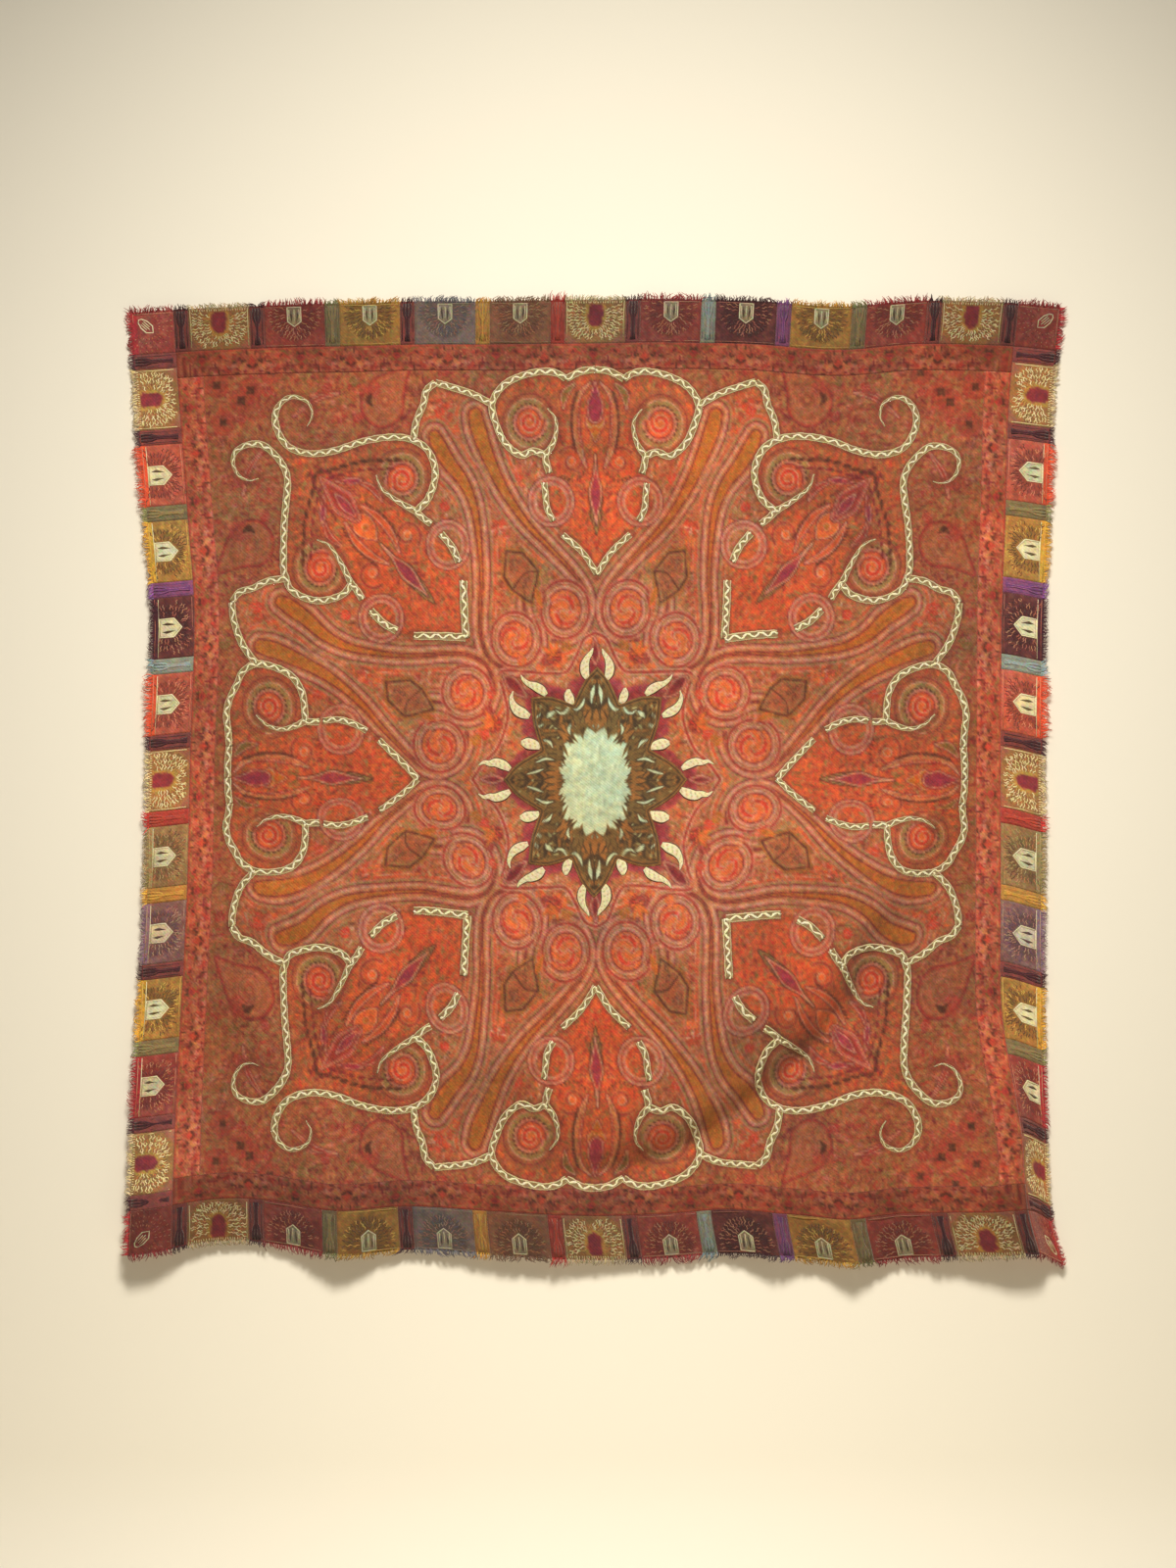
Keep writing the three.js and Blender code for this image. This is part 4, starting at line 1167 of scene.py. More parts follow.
def thread_faces(count):
    """The faces of a raised thread of three-cornered section, closed at both ends."""
    n = np.arange(count - 1) * 3
    sides = [np.stack([n + a, n + b, n + b + 3, n + a + 3], axis=1) for a, b in ((0, 1), (1, 2), (2, 0))]
    last = (count - 1) * 3
    return [np.concatenate(sides), np.array([[0, 2, 1], [last, last + 1, last + 2]])]


def add_thread(batch, u, v, width, height, colour, base=WALL - 0.1):
    """A raised thread along flat places, with its width at each of them."""
    u, v = np.asarray(u, float), np.asarray(v, float)
    width = np.broadcast_to(np.asarray(width, float), u.shape)
    du, dv = np.gradient(u), np.gradient(v)
    length = np.hypot(du, dv) + 1e-9
    beside_u, beside_v = -dv / length, du / length
    points_u = np.stack([u - beside_u * width / 2, u, u + beside_u * width / 2], axis=1)
    points_v = np.stack([v - beside_v * width / 2, v, v + beside_v * width / 2], axis=1)
    top = base + height * np.clip(width / max(width.max(), 1e-6), 0.3, 1)
    out = np.stack([np.full(u.shape, base), top, np.full(u.shape, base)], axis=1)
    batch.add(points_u, points_v, out, colour, thread_faces(len(u)))


def block_seams(length, wide):
    """The seams of one side from the start corner's inner one: narrow, wide, narrow and so on."""
    inner = length - 2 * BORDER
    narrow = (inner - WIDE_BLOCKS * wide) / (WIDE_BLOCKS + 1)
    seams = [BORDER]
    for _ in range(WIDE_BLOCKS):
        seams += [seams[-1] + narrow, seams[-1] + narrow + wide]
    return [*seams, length - BORDER]


# Wool colours of the blocks: the ground, the niche, its panes, the three of the rays, and the fringe
BLOCKS = {
    "cream": ((132, 92, 54), (116, 44, 48), (92, 34, 42),
        ((208, 192, 142), (196, 176, 122), (174, 96, 52)), (184, 162, 118)),
    "crimson": ((124, 54, 46), (198, 186, 146), (78, 62, 46),
        ((156, 98, 64), (166, 112, 84), (100, 44, 42)), (146, 40, 44)),
    "red": ((156, 74, 56), (206, 196, 152), (92, 76, 52),
        ((108, 48, 40), (190, 112, 84), (96, 44, 38)), (196, 72, 42)),
    "gold": ((142, 100, 50), (204, 196, 154), (92, 74, 46),
        ((96, 60, 36), (192, 150, 70), (84, 60, 36)), (186, 138, 48)),
    "blue": ((106, 88, 80), (190, 182, 146), (76, 62, 56),
        ((138, 92, 78), (142, 118, 100), (82, 80, 90)), (108, 106, 114)),
    "brown": ((120, 76, 54), (196, 184, 142), (80, 58, 42),
        ((150, 92, 60), (146, 112, 76), (92, 52, 42)), (126, 92, 64)),
    "maroon": ((82, 42, 40), (210, 200, 156), (74, 56, 40),
        ((164, 112, 84), (148, 84, 66), (58, 30, 32)), (62, 30, 38)),
    "olive": ((124, 92, 58), (196, 186, 144), (84, 64, 44),
        ((164, 106, 68), (154, 128, 84), (92, 60, 44)), (138, 118, 76)),
    "purple": ((108, 74, 70), (192, 180, 146), (78, 56, 54),
        ((146, 98, 86), (154, 120, 98), (92, 62, 78)), (122, 94, 104)),
}
# Painted light: the wool at the two upright sides is painted brighter, and along the top and the bottom
# darker, for light falling unevenly across the cloth
SIDE_PAINTED_LIGHT = {"top": 0.9, "right": 1.15, "bottom": 0.84, "left": 1.15}
# Dividers: the ground, its vase, the vase's lines and the fringe
DIVIDERS = {
    "dark": ((112, 56, 50), (58, 30, 34), (116, 62, 62), (62, 28, 36)),
    "green": ((108, 92, 62), (122, 108, 70), (146, 84, 58), (122, 120, 74)),
    "teal": ((120, 118, 100), (126, 140, 134), (158, 112, 94), (118, 138, 140)),
    "gold": ((150, 104, 50), (178, 130, 56), (126, 76, 40), (202, 148, 54)),
    "red": ((140, 52, 42), (160, 62, 46), (104, 44, 40), (182, 46, 40)),
    "purple": ((116, 64, 92), (98, 54, 94), (168, 108, 136), (116, 68, 124)),
}
ROW_DIVIDERS = "dark dark green dark gold red dark teal purple green dark dark".split()
COLUMN_DIVIDERS = "dark dark green purple teal dark red gold dark green dark dark".split()

BLOCK_COLOURS = {
    "top": "cream crimson gold blue brown cream crimson maroon gold crimson cream".split(),
    "right": "cream red gold maroon red cream olive purple gold crimson cream".split(),
    "bottom": "cream crimson gold maroon crimson cream brown blue gold crimson cream".split(),
    "left": "cream crimson gold purple olive cream red maroon gold red cream".split(),
}
CORNERS = {"top": "top_right", "right": "bottom_right", "bottom": "bottom_left", "left": "top_left"}
ROW_SIDES = ("top", "bottom")


def edge_place(side, along, deep):
    """The flat place a way clockwise along a side and a way in from its edge."""
    along, deep = np.broadcast_arrays(np.asarray(along, float), np.asarray(deep, float))
    if side == "top":
        return along - HALF, deep
    if side == "bottom":
        return HALF - along, CLOTH_DROP - deep
    if side == "right":
        return HALF - deep, along
    return deep - HALF, CLOTH_DROP - along


def edge_box(side, low, high, shallow, deep):
    """The flat box between two places along a side and two depths, half a gap inside its seams."""
    inset = SEAM_GAP / 2
    us, vs = edge_place(side, np.array([low, high]), np.array([shallow, deep]))
    left, right, top, bottom = us.min(), us.max(), vs.min(), vs.max()
    return (left + inset if left > -HALF else left, right - inset if right < HALF else right,
            top + inset if top > 0 else top, bottom - inset if bottom < CLOTH_DROP else bottom)


def side_stretches(side):
    """Which wool each stretch of a side has, clockwise: its start, its end, its kind and its colour."""
    is_row = side in ROW_SIDES
    length = CLOTH_WIDTH if is_row else CLOTH_DROP
    seams = block_seams(length, WIDE_IN_ROW if is_row else WIDE_IN_COLUMN)
    dividers = ROW_DIVIDERS if is_row else COLUMN_DIVIDERS
    if side in ("bottom", "left"):
        dividers = dividers[::-1]
    stretches = []
    for i, (low, high) in enumerate(zip(seams, seams[1:], strict=False)):
        kind = ("divider", dividers[i // 2]) if i % 2 == 0 else ("block", BLOCK_COLOURS[side][i // 2])
        stretches.append((low, high, *kind))
    return [*stretches, (seams[-1], length, "corner", "crimson")]


def wool_material(name, weave=0.35, fuzz=0.35, sheen=0.25, roughness=0.88, stitch=0.16):
    """Wool whose colour is in its threads, with twill, loose fibre and uneven stitches in its surface."""
    material = bpy.data.materials.new(name)
    material.use_nodes = True
    nodes, links = material.node_tree.nodes, material.node_tree.links
    shader = nodes["Principled BSDF"]
    shader.inputs["Roughness"].default_value = roughness
    shader.inputs["Specular IOR Level"].default_value = 0.25
    shader.inputs["Sheen Weight"].default_value = sheen
    shader.inputs["Sheen Roughness"].default_value = 0.45
    shader.inputs["Sheen Tint"].default_value = (1.0, 0.86, 0.72, 1)
    place = nodes.new("ShaderNodeTexCoord").outputs["Object"]

    def noise(scale, detail=2.0):
        node = nodes.new("ShaderNodeTexNoise")
        node.inputs["Scale"].default_value = scale
        node.inputs["Detail"].default_value = detail
        links.new(place, node.inputs["Vector"])
        return node.outputs["Fac"]

    def math_node(operation, first, second):
        node = nodes.new("ShaderNodeMath")
        node.operation = operation
        for socket, value in zip(node.inputs, (first, second), strict=False):
            if isinstance(value, float):
                socket.default_value = value
            else:
                links.new(value, socket)
        return node.outputs[0]

    wave = nodes.new("ShaderNodeTexWave")
    wave.bands_direction = "DIAGONAL"
    wave.inputs["Scale"].default_value = 95.0
    wave.inputs["Distortion"].default_value = 2.0
    wave.inputs["Detail Scale"].default_value = 60.0
    links.new(place, wave.inputs["Vector"])
    stitches, fibres = noise(260.0), noise(1100.0, 3.0)
    rough = math_node("ADD", math_node("MULTIPLY", stitches, 0.9), math_node("MULTIPLY", fibres, fuzz))
    height = math_node("ADD", math_node("MULTIPLY", wave.outputs["Fac"], weave), rough)
    bump = nodes.new("ShaderNodeBump")
    bump.inputs["Strength"].default_value = 0.55
    bump.inputs["Distance"].default_value = 0.0011
    links.new(height, bump.inputs["Height"])
    links.new(bump.outputs["Normal"], shader.inputs["Normal"])
    threads = nodes.new("ShaderNodeAttribute")
    threads.attribute_name = "thread"
    # Painted light and shade of the weave: the thread colour is darker where the surface's height is low and
    # lighter where it is high
    shade = math_node("ADD", math_node("MULTIPLY", height, 0.34), 0.72)

    def mixed(blend, share, first, second):
        node = nodes.new("ShaderNodeMix")
        node.data_type = "RGBA"
        node.blend_type = blend
        node.inputs["Factor"].default_value = share
        links.new(first, node.inputs["A"])
        links.new(second, node.inputs["B"])
        return node.outputs["Result"]

    cells = nodes.new("ShaderNodeTexVoronoi")
    cells.inputs["Scale"].default_value = 270.0
    links.new(place, cells.inputs["Vector"])
    coloured = mixed("OVERLAY", stitch, threads.outputs["Color"], cells.outputs["Color"])
    links.new(mixed("MULTIPLY", 1.0, coloured, shade), shader.inputs["Base Color"])
    return material


def plain_material(name, rgb, roughness=0.9):
    """A stage surface."""
    material = bpy.data.materials.new(name)
    material.use_nodes = True
    shader = material.node_tree.nodes["Principled BSDF"]
    shader.inputs["Base Color"].default_value = (*linear(rgb), 1)
    shader.inputs["Roughness"].default_value = roughness
    return material


# How fine each mesh is: the spacing of its points, and how many rings in front go to one at the back
FIELD_SPACING = 3.12
MEDALLION_RINGS = 78
MEDALLION_SPOKES = 400
BACK_EVERY = 6
INNER_SPACING = 3.3
BLOCK_SPACING = 4.0


def field_pieces(material):
    """The field in four quarters that share their straight edges, with the star cut out."""
    reach_u = HALF - BORDER - INNER_BORDER - SEAM_GAP / 2
    top = BORDER + INNER_BORDER + SEAM_GAP / 2
    bottom = CLOTH_DROP - BORDER - INNER_BORDER - SEAM_GAP / 2
    quarters = {
        "field_upper_left": (-reach_u, 0, top, MEDALLION_DROP),
        "field_upper_right": (0, reach_u, top, MEDALLION_DROP),
        "field_lower_left": (-reach_u, 0, MEDALLION_DROP, bottom),
        "field_lower_right": (0, reach_u, MEDALLION_DROP, bottom),
    }
    pieces = []
    for name, box in quarters.items():
        batch = Batch()
        cloth_shell(batch, box, FIELD_SPACING, field_colour, hole=medallion_hole)
        piece = batch.build(name, material, sharp_rims=True)
        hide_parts("field")
        pieces.append((piece, box))
    return pieces


# Half of one repeat of the inner border
RUN = 96.0


def paint_running_border():
    """Soft red leaves along a vine, with small dark leaves over them."""
    design = Design(RUN + 8, INNER_BORDER + 4, "clay")
    rng = np.random.default_rng(SEEDS["inner border"])
    everywhere = (slice(None), slice(None))
    for _ in range(46):
        x, y = rng.uniform(0, RUN), rng.uniform(0, INNER_BORDER)
        thread = ["crimson", "rust", "pink", "brown", "tan"][rng.integers(5)]
        design.leaf(x, y, rng.uniform(0, 360), rng.uniform(12, 24), 9, thread, strength=0.45)
    design.stroke([(0, 8), (24, 30), (48, 26), (72, 20), (96, 42)], 1.6, "deep brown", 0.6)
    for x, y, turn, length, width, thread in (
            (0, 44, 180, 30, 20, "rust"), (96, 8, 0, 30, 20, "crimson"), (26, 12, 40, 24, 8, "rust"),
            (36, 40, 130, 22, 8, "pink"), (62, 12, 50, 22, 8, "rust"), (70, 40, 120, 24, 8, "pink")):
        design.leaf(x, y, turn, length, width, thread, edge="deep brown", strength=0.5)
    for _ in range(44):
        x, y = rng.uniform(0, RUN), rng.uniform(3, INNER_BORDER - 3)
        thread = ["dark", "deep brown", "olive", "wine", "deep brown"][rng.integers(5)]
        design.leaf(x, y, rng.uniform(0, 360), rng.uniform(8, 17), 4.2, thread, strength=0.9)
    design.bands(everywhere, design.y, [(0, 3.5, "crimson")], 0.8)
    design.bands(everywhere, design.y - (INNER_BORDER - 2.5), [(0, 2.5, "wine")], 0.5)
    return design


running_border = paint_running_border()


def inner_border_pieces(material):
    """Four strips with a running floral pattern, the upright ones between the level ones."""
    pieces = []
    for side in ("top", "right", "bottom", "left"):
        is_row = side in ROW_SIDES
        length = CLOTH_WIDTH if is_row else CLOTH_DROP
        inset = BORDER if is_row else BORDER + INNER_BORDER
        box = edge_box(side, inset, length - inset, BORDER, BORDER + INNER_BORDER)

        def colour_of(u, v, is_row=is_row, side=side):
            along = u if is_row else v
            deep = from_edge(u, v) - BORDER if is_row else np.minimum(u + HALF, HALF - u) - BORDER
            place = np.abs((along + 6 * soft_noise(u, v, 90, 41)) % (2 * RUN) - RUN)
            colour = sample(running_border.colour, DESIGN_STEP, place, np.clip(deep, 0, INNER_BORDER))
            # Painted light and shade of this side, from the side factors
            return tinted(side_lit(colour, side), u, v)

        batch = Batch()
        cloth_shell(batch, box, INNER_SPACING, colour_of, rim_dip=0.5)
        piece = batch.build(f"running_border_{side}", material)
        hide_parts(f"inner_border_{side}")
        pieces.append((piece, box))
    return pieces


def add_dash(batch, u, v, turn_u, turn_v, length, width, colour, height=0.55):
    """One small stitched leaf, a closed diamond with a raised middle."""
    base = WALL - 0.1
    side_u, side_v = -turn_v * width / 2, turn_u * width / 2
    middle_u, middle_v = u + turn_u * length * 0.45, v + turn_v * length * 0.45
    us = [u, middle_u - side_u, u + turn_u * length, middle_u + side_u, middle_u]
    vs = [v, middle_v - side_v, v + turn_v * length, middle_v + side_v, middle_v]
    outs = [base, base, base, base, base + height]
    faces = [np.array([[0, 4, 1], [1, 4, 2], [2, 4, 3], [3, 4, 0]]), np.array([[0, 1, 2, 3]])]
    batch.add(us, vs, outs, colour, faces)


def side_lit(colour, side):
    """A colour of the wool with its side's painted light: brighter at the upright sides, darker in painted
    shade along the top and the bottom.
    """
    return np.minimum(np.array(colour, float) * SIDE_PAINTED_LIGHT[side], 255)


class Patch:
    """Draws on one block: along its edge and in from it."""

    def __init__(self, batch, side, low):
        self.batch, self.side, self.low = batch, side, low

    def line(self, points, width, colour, height=0.5):
        """A raised thread, with its own width at each point where it has one."""
        points = np.array(points, float)
        u, v = edge_place(self.side, self.low + points[:, 0], points[:, 1])
        widths = points[:, 2] if points.shape[1] > 2 else width
        # Painted light and shade of this side on the raised stitches
        add_thread(self.batch, u, v, widths, height, side_lit(colour, self.side))

    def dash(self, along, deep, turn, length, width, colour):
        """A leaf from its foot, turned from straight in towards the field."""
        angle = math.radians(turn)
        u, v = edge_place(self.side, self.low + along, deep)
        tip_u, tip_v = edge_place(self.side, self.low + along + math.sin(angle), deep + math.cos(angle))
        # Painted light and shade of this side on the stitched leaf
        add_dash(self.batch, float(u), float(v), float(tip_u - u), float(tip_v - v), length, width,
                 side_lit(colour, self.side))

    def rays(self, centre, reach, spacing, length, width, colours, rng, inside):
        """Curly lines in a ring round a centre, all pointing away from it."""
        step = math.degrees(spacing / max(reach))
        for angle in np.arange(-114, 115, step):
            turn = math.radians(angle + rng.uniform(-2, 2))
            ahead = np.array([math.sin(turn), math.cos(turn)])
            curl = np.array([ahead[1], -ahead[0]]) * rng.choice((-1, 1)) * width
            size = length * rng.uniform(0.8, 1.15)
            points = np.array([np.array(centre) + ahead * reach + ahead * size * share + curl * bend
                               for share, bend in ((0, 0), (0.35, 0.5), (0.7, -0.4), (1, 0.6))])
            alongs, deeps = points.T
            if alongs.min() > inside and alongs.max() < 2 * centre[0] - inside and deeps.min() > 4 \
                    and deeps.max() < BORDER - 4:
                widths = np.array([0.5, 1, 1, 0.3]) * width
                self.line(np.column_stack([points, widths]), 0, colours[rng.integers(len(colours))], 0.6)


# The plain strip along the outer edge of a block at an upright side
SKIRT = 12.0
# The cream blocks: wool round the niche and at the corners, the dark rays and a third colour of the pale ones
CREAM_RIM = np.array([158, 118, 56], float)
CREAM_CORNER = np.array([136, 84, 62], float)
CREAM_DARK = (108, 70, 42)
CREAM_OCHRE = (168, 124, 62)
CREAM_CENTRE = 30
PALE_RINGS = ((19, 27), (31, 38), (43, 48))
DARK_RINGS = ((27, 34), (40, 46), (51, 55))
# The rings of rays of the other blocks: how far ahead of the niche, how close and how long
RAY_RINGS = table("ahead spacing length", (4, 5.6, 12), (17, 5.8, 12), (30, 6.0, 10))
# The niches of the coloured blocks, along the top and bottom and along the two upright sides
ROW_NICHE, COLUMN_NICHE = table("half shallow deep point", (13.0, 6.0, 34.0, 10.0), (18.0, 14.0, 43.0, 16.0))


def niche_outline(centre, niche):
    """A small arched niche that points to the field."""
    left, right = centre - niche["half"], centre + niche["half"]
    shallow, deep = niche["shallow"], niche["deep"]
    tip = (centre, deep + niche["point"])
    return [(left, shallow), (right, shallow), (right, deep), tip, (left, deep), (left, shallow)]


def inside_niche(along, deep, niche):
    """How far inside its niche a place is, from the niche's middle line and the block's edge."""
    lean = niche["point"] * (1 - np.abs(along) / niche["half"])
    in_height = np.minimum(deep - niche["shallow"], niche["deep"] + lean - deep)
    return np.minimum(niche["half"] - np.abs(along), in_height)


def embroider_cream_block(patch, width, rays, rng):
    """Rings of curly pale and dark rays round a small dark niche, with stitches along three edges."""
    cream, dark = rays[:2], (rays[2], CREAM_DARK)
    centre = (width / 2, CREAM_CENTRE)
    for reach in PALE_RINGS:
        mix = (*cream, CREAM_OCHRE) if reach == PALE_RINGS[0] else cream
        patch.rays(centre, reach, 4.8, 13, 3.3, mix, rng, 3)
    for reach in DARK_RINGS:
        patch.rays(centre, reach, 7.0, 7, 2.0, dark, rng, 4)
    for along in np.arange(4, width - 3, 4.6):
        patch.dash(along, 1.5, rng.uniform(-12, 12), 8, 2.8, cream[rng.integers(2)])
    for side in (3.5, width - 3.5):
        patch.line([(side, 5), (side + rng.uniform(-1, 1), 40), (side, 78)], 2.2, cream[1], 0.5)


def embroider_block(patch, width, colours, rng):
    """An arched niche with its panes, rings of rays round it and lines along the edges."""
    _, pale, panes, rays, _ = colours
    middle = width / 2
    niche = ROW_NICHE if patch.side in ROW_SIDES else COLUMN_NICHE
    half, shallow, deep = niche["half"], niche["shallow"], niche["deep"]
    patch.line(niche_outline(middle, niche), 3.2, pale, 0.8)
    for beside in (-0.42, 0.42):
        sway = rng.uniform(-0.8, 0.8)
        patch.line([(middle + beside * half, shallow + 5, 1.2),
                    (middle + beside * half * 1.1 + sway, (shallow + deep) / 2, half * 0.36),
                    (middle + beside * half * 0.8, deep + 2, 1.0)], 0, panes, 0.8)
    for beside in (-0.74, 0.02, 0.72) if patch.side in ROW_SIDES else ():
        across = middle + beside * half
        foot, top = shallow + 4, deep + 4 - 4 * abs(beside)
        halfway = (across + rng.uniform(-1, 1), 0.5 * (foot + top))
        patch.line([(across, foot), halfway, (across, top)], half * 0.15, pale, 0.7)
    centre = (middle, (shallow + deep) / 2)
    rise = deep + niche["point"] - centre[1]
    for ring in RAY_RINGS:
        reach = (half + ring["ahead"], rise + ring["ahead"] * 0.6)
        patch.rays(centre, reach, ring["spacing"], ring["length"], 2.6, rays, rng, 5)
    if patch.side not in ROW_SIDES:
        patch.line([(3, SKIRT), (middle, SKIRT + 0.5), (width - 3, SKIRT)], 1.6, pale, 0.5)
    patch.line([(3, 4.5), (middle, 5), (width - 3, 4.5)], 2.0, rays[1], 0.4)
    patch.line([(3, 80), (middle, 80.6), (width - 3, 80)], 1.6, rays[1], 0.4)


def embroider_divider(patch, width, vase, lines, rng):
    """A slender vase on a stem, worked lengthwise."""
    middle = width / 2
    for beside in (-5.5, 0, 5.5):
        shape = ((1, 4), (1.15, 15), (0.9, 26), (0.25, 36), (0.2, 62), (0.6, 78))
        patch.line([(middle + beside * share, deep) for share, deep in shape], 6.5, vase, 0.6)
    for side in (-1, 1):
        sway = rng.uniform(-0.8, 0.8)
        patch.line([(middle + side * 6.5, 7), (middle + side * 6, 20), (middle + side * 1.8 + sway, 34),
                    (middle + side * 1.6, 60), (middle + side * 3, 77)], 1.8, lines, 0.7)
        rim = [(middle + side * 11, 8), (middle + side * 10, 40), (middle + side * 10.5, 76)]
        patch.line(rim, 1.6, vase, 0.4)


def embroider_corner(patch, rng):
    """A small niche set slantwise in the corner block, with rays."""
    niche, rays = BLOCKS["crimson"][1], BLOCKS["crimson"][3]
    centre = BORDER - 30.0
    foot = 30.0
    c = math.sqrt(0.5)

    def at(along, across):
        # Along runs from the outer corner inward, across is square to it
        return centre - (along * c) + across * c, foot + along * c + across * c

    outline = ((-17, -5), (-20, 0), (-17, 5), (-6, 9), (8, 9), (18, 0), (8, -9), (-6, -9), (-17, -5))
    patch.line([at(*point) for point in outline], 3.0, niche, 0.8)
    for across in (-4, 0, 4):
        patch.line([at(-11, across), at(9 - abs(across), across)], 2.2, niche, 0.7)
    for radius in (22, 30, 38, 46):
        for angle in range(-100, 101, 13):
            turn = angle - 45
            along = centre + radius * math.sin(math.radians(turn))
            down = foot + radius * math.cos(math.radians(turn))
            if 6 < along < BORDER - 6 and 6 < down < BORDER - 8:
                patch.dash(along, down, turn + rng.uniform(-14, 14), 7, 2.4, rays[rng.integers(3)])
    patch.line([(4, 5), (BORDER - 5, 5)], 1.8, rays[1], 0.4)
    patch.line([(BORDER - 5, 5), (BORDER - 5, BORDER - 4)], 1.8, rays[1], 0.4)


def flat_wool(rgb):
    """Wool of one colour."""
    def colour_of(u, v):
        return tinted(np.broadcast_to(np.array(rgb, float), (*u.shape, 3)), u, v)
    return colour_of


def block_wool(side, low, high, kind, is_wide):
    """A block's ground with its niche: darker round the rays, and plain along the outer edge."""
    ground, niche, panes, rays, edge = (np.array(colour, float) for colour in BLOCKS[kind])
    shape = ROW_NICHE if side in ROW_SIDES else COLUMN_NICHE

    def blend(colour, other, share):
        return colour + (other - colour) * share[..., None]

    def colour_of(u, v):
        deep = np.abs({"top": v, "bottom": CLOTH_DROP - v, "right": HALF - u, "left": u + HALF}[side])
        along = {"top": u + HALF, "bottom": HALF - u, "right": v, "left": CLOTH_DROP - v}[side]
        along = along - (low + high) / 2
        grain = soft_noise(u, v, 6.5, 61)
        colour = np.broadcast_to(ground, (*u.shape, 3))
        if kind == "cream":
            from_niche = np.hypot(along / 15, (np.maximum(deep - 36, 0) + 4 * np.maximum(13 - deep, 0)) / 17)
            from_corner = np.hypot(along / 64, (deep - 22) / 64) - 1
            colour = blend(colour, CREAM_CORNER, smooth_rise(from_corner * 9))
            colour = blend(colour, CREAM_RIM, smooth_rise((1.5 + 0.1 * grain - from_niche) * 5))
            colour = blend(colour, niche, smooth_rise((1.05 + 0.1 * grain - from_niche) * 6))
        else:
            colour = blend(colour, rays[1], 0.22 * (grain > 0.25))
            if is_wide:
                reach = np.hypot(along / 48, (deep - 26) / 50)
                colour = blend(colour, ground * 0.8, smooth_rise((1 - reach) * 6) * 0.8)
                pale = 0.4 if side in ROW_SIDES else 0.8
                within = smooth_rise(inside_niche(along, deep, shape) / 2 + 0.5)
                colour = blend(colour, niche * pale + panes * (1 - pale), within)
            if side not in ROW_SIDES:
                colour = blend(colour, edge, smooth_rise((SKIRT - deep) / 2 + 0.5) * 0.8)
        # Painted light and shade of this side, over the block's own colours
        return tinted(side_lit(colour, side), u, v)
    return colour_of


def border_pieces(material):
    """Every block with the divider before it, and the four corners, clockwise."""
    rng = np.random.default_rng(SEEDS["blocks"])
    pieces = []
    for side in BLOCK_COLOURS:
        stretches = side_stretches(side)
        stitches = Batch()
        for i in range(0, len(stretches), 2):
            start, seam, _, divider = stretches[i]
            _, end, kind, wool = stretches[i + 1]
            batch = Batch()
            ground, vase, lines, _ = DIVIDERS[divider]
            narrow = edge_box(side, start, seam, 0, BORDER)
            wide = edge_box(side, seam, end, 0, BORDER)
            # Painted light and shade of this side on the divider's ground
            cloth_shell(batch, narrow, BLOCK_SPACING, flat_wool(side_lit(ground, side)), 0.6)
            embroider_divider(Patch(stitches, side, start), seam - start, vase, lines, rng)
            ground = block_wool(side, seam, end, wool, kind == "block")
            cloth_shell(batch, wide, BLOCK_SPACING, ground, 0.6)
            patch = Patch(stitches, side, seam)
            if kind == "corner":
                embroider_corner(patch, rng)
                node, slot = f"corner_{CORNERS[side]}", "block_crimson"
            else:
                if wool == "cream":
                    embroider_cream_block(patch, end - seam, BLOCKS[wool][3], rng)
                else:
                    embroider_block(patch, end - seam, BLOCKS[wool], rng)
                node, slot = f"block_{side}_{i // 2 + 1:02d}", f"block_{wool}"
            piece = batch.build(f"worked_{node}", material)
            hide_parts(node)
            pieces.append((piece, edge_box(side, start, end, 0, BORDER)))
        worked = stitches.build(f"raised_stitches_{side}", material)
    return pieces


# Loose threads: how close, how long, how wide from root to tip, and how wide a clump that leans as one
THREAD_PITCH = 1.8
THREAD_LENGTH = (5.0, 11.0)
THREAD_WIDTHS = [2.4, 1.7, 0.6]
THREAD_ROOT = 3.5
CLUMP = 19.0
LONG_FRINGES = {"red": 1.6, "crimson": 1.25, "teal": 1.4}


def make_fringes(material):
    """Loose threads past each edge, in the colours of the blocks that they come from."""
    rng = np.random.default_rng(SEEDS["fringe"])
    for side in BLOCK_COLOURS:
        batch = Batch()
        length = CLOTH_WIDTH if side in ROW_SIDES else CLOTH_DROP
        stretches = [(0, BORDER, "corner", "crimson"), *side_stretches(side)]
        clumps = rng.uniform(0.75, 1.25, int(length / CLUMP) + 2)
        leans = rng.normal(0, 5, len(clumps))
        for start in np.arange(THREAD_PITCH / 2, length, THREAD_PITCH):
            _, _, kind, name = next(row for row in stretches if row[0] <= start <= row[1])
            colour = np.array(DIVIDERS[name][3] if kind == "divider" else BLOCKS[name][4], float)
            # Painted light and shade of this side on the loose threads, then a random spread of tone
            colour = np.clip(side_lit(colour, side) * rng.uniform(0.75, 1.25), 0, 255)
            root = np.clip(start + rng.uniform(-1, 1), 1, length - 1)
            clump = int(start / CLUMP)
            reach = rng.uniform(*THREAD_LENGTH) * clumps[clump] * LONG_FRINGES.get(name, 1.0)
            lean = leans[clump] + rng.normal(0, 3.4)
            curl = rng.normal(0, 2.2)
            along = np.array([root, root + lean * 0.3 + curl, root + lean])
            u, v = edge_place(side, along, [THREAD_ROOT, -reach * 0.5, -reach])
            height, base = rng.uniform(0.8, 1.4), rng.uniform(0.2, 1.1)
            add_thread(batch, u, v, THREAD_WIDTHS, height, colour, base=base)
        piece = batch.build(f"loose_threads_{side}", material)
        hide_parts(f"fringe_{side}")


RIBBON_STEP = 6.5
RIBBON_HEIGHT = 0.9
RIBBON_WIDTHS = {"palmette arm": 13.5, "palmette dash": 13.5, "corner arm": 17.0, "corner dash": 16.0}
WAVE_LENGTH = 25.0
WAVE_REACH = 0.22
RIBBON_EDGE = (192, 174, 128)
RIBBON_GROUND = (134, 108, 72)
RIBBON_WAVE = (226, 218, 176)


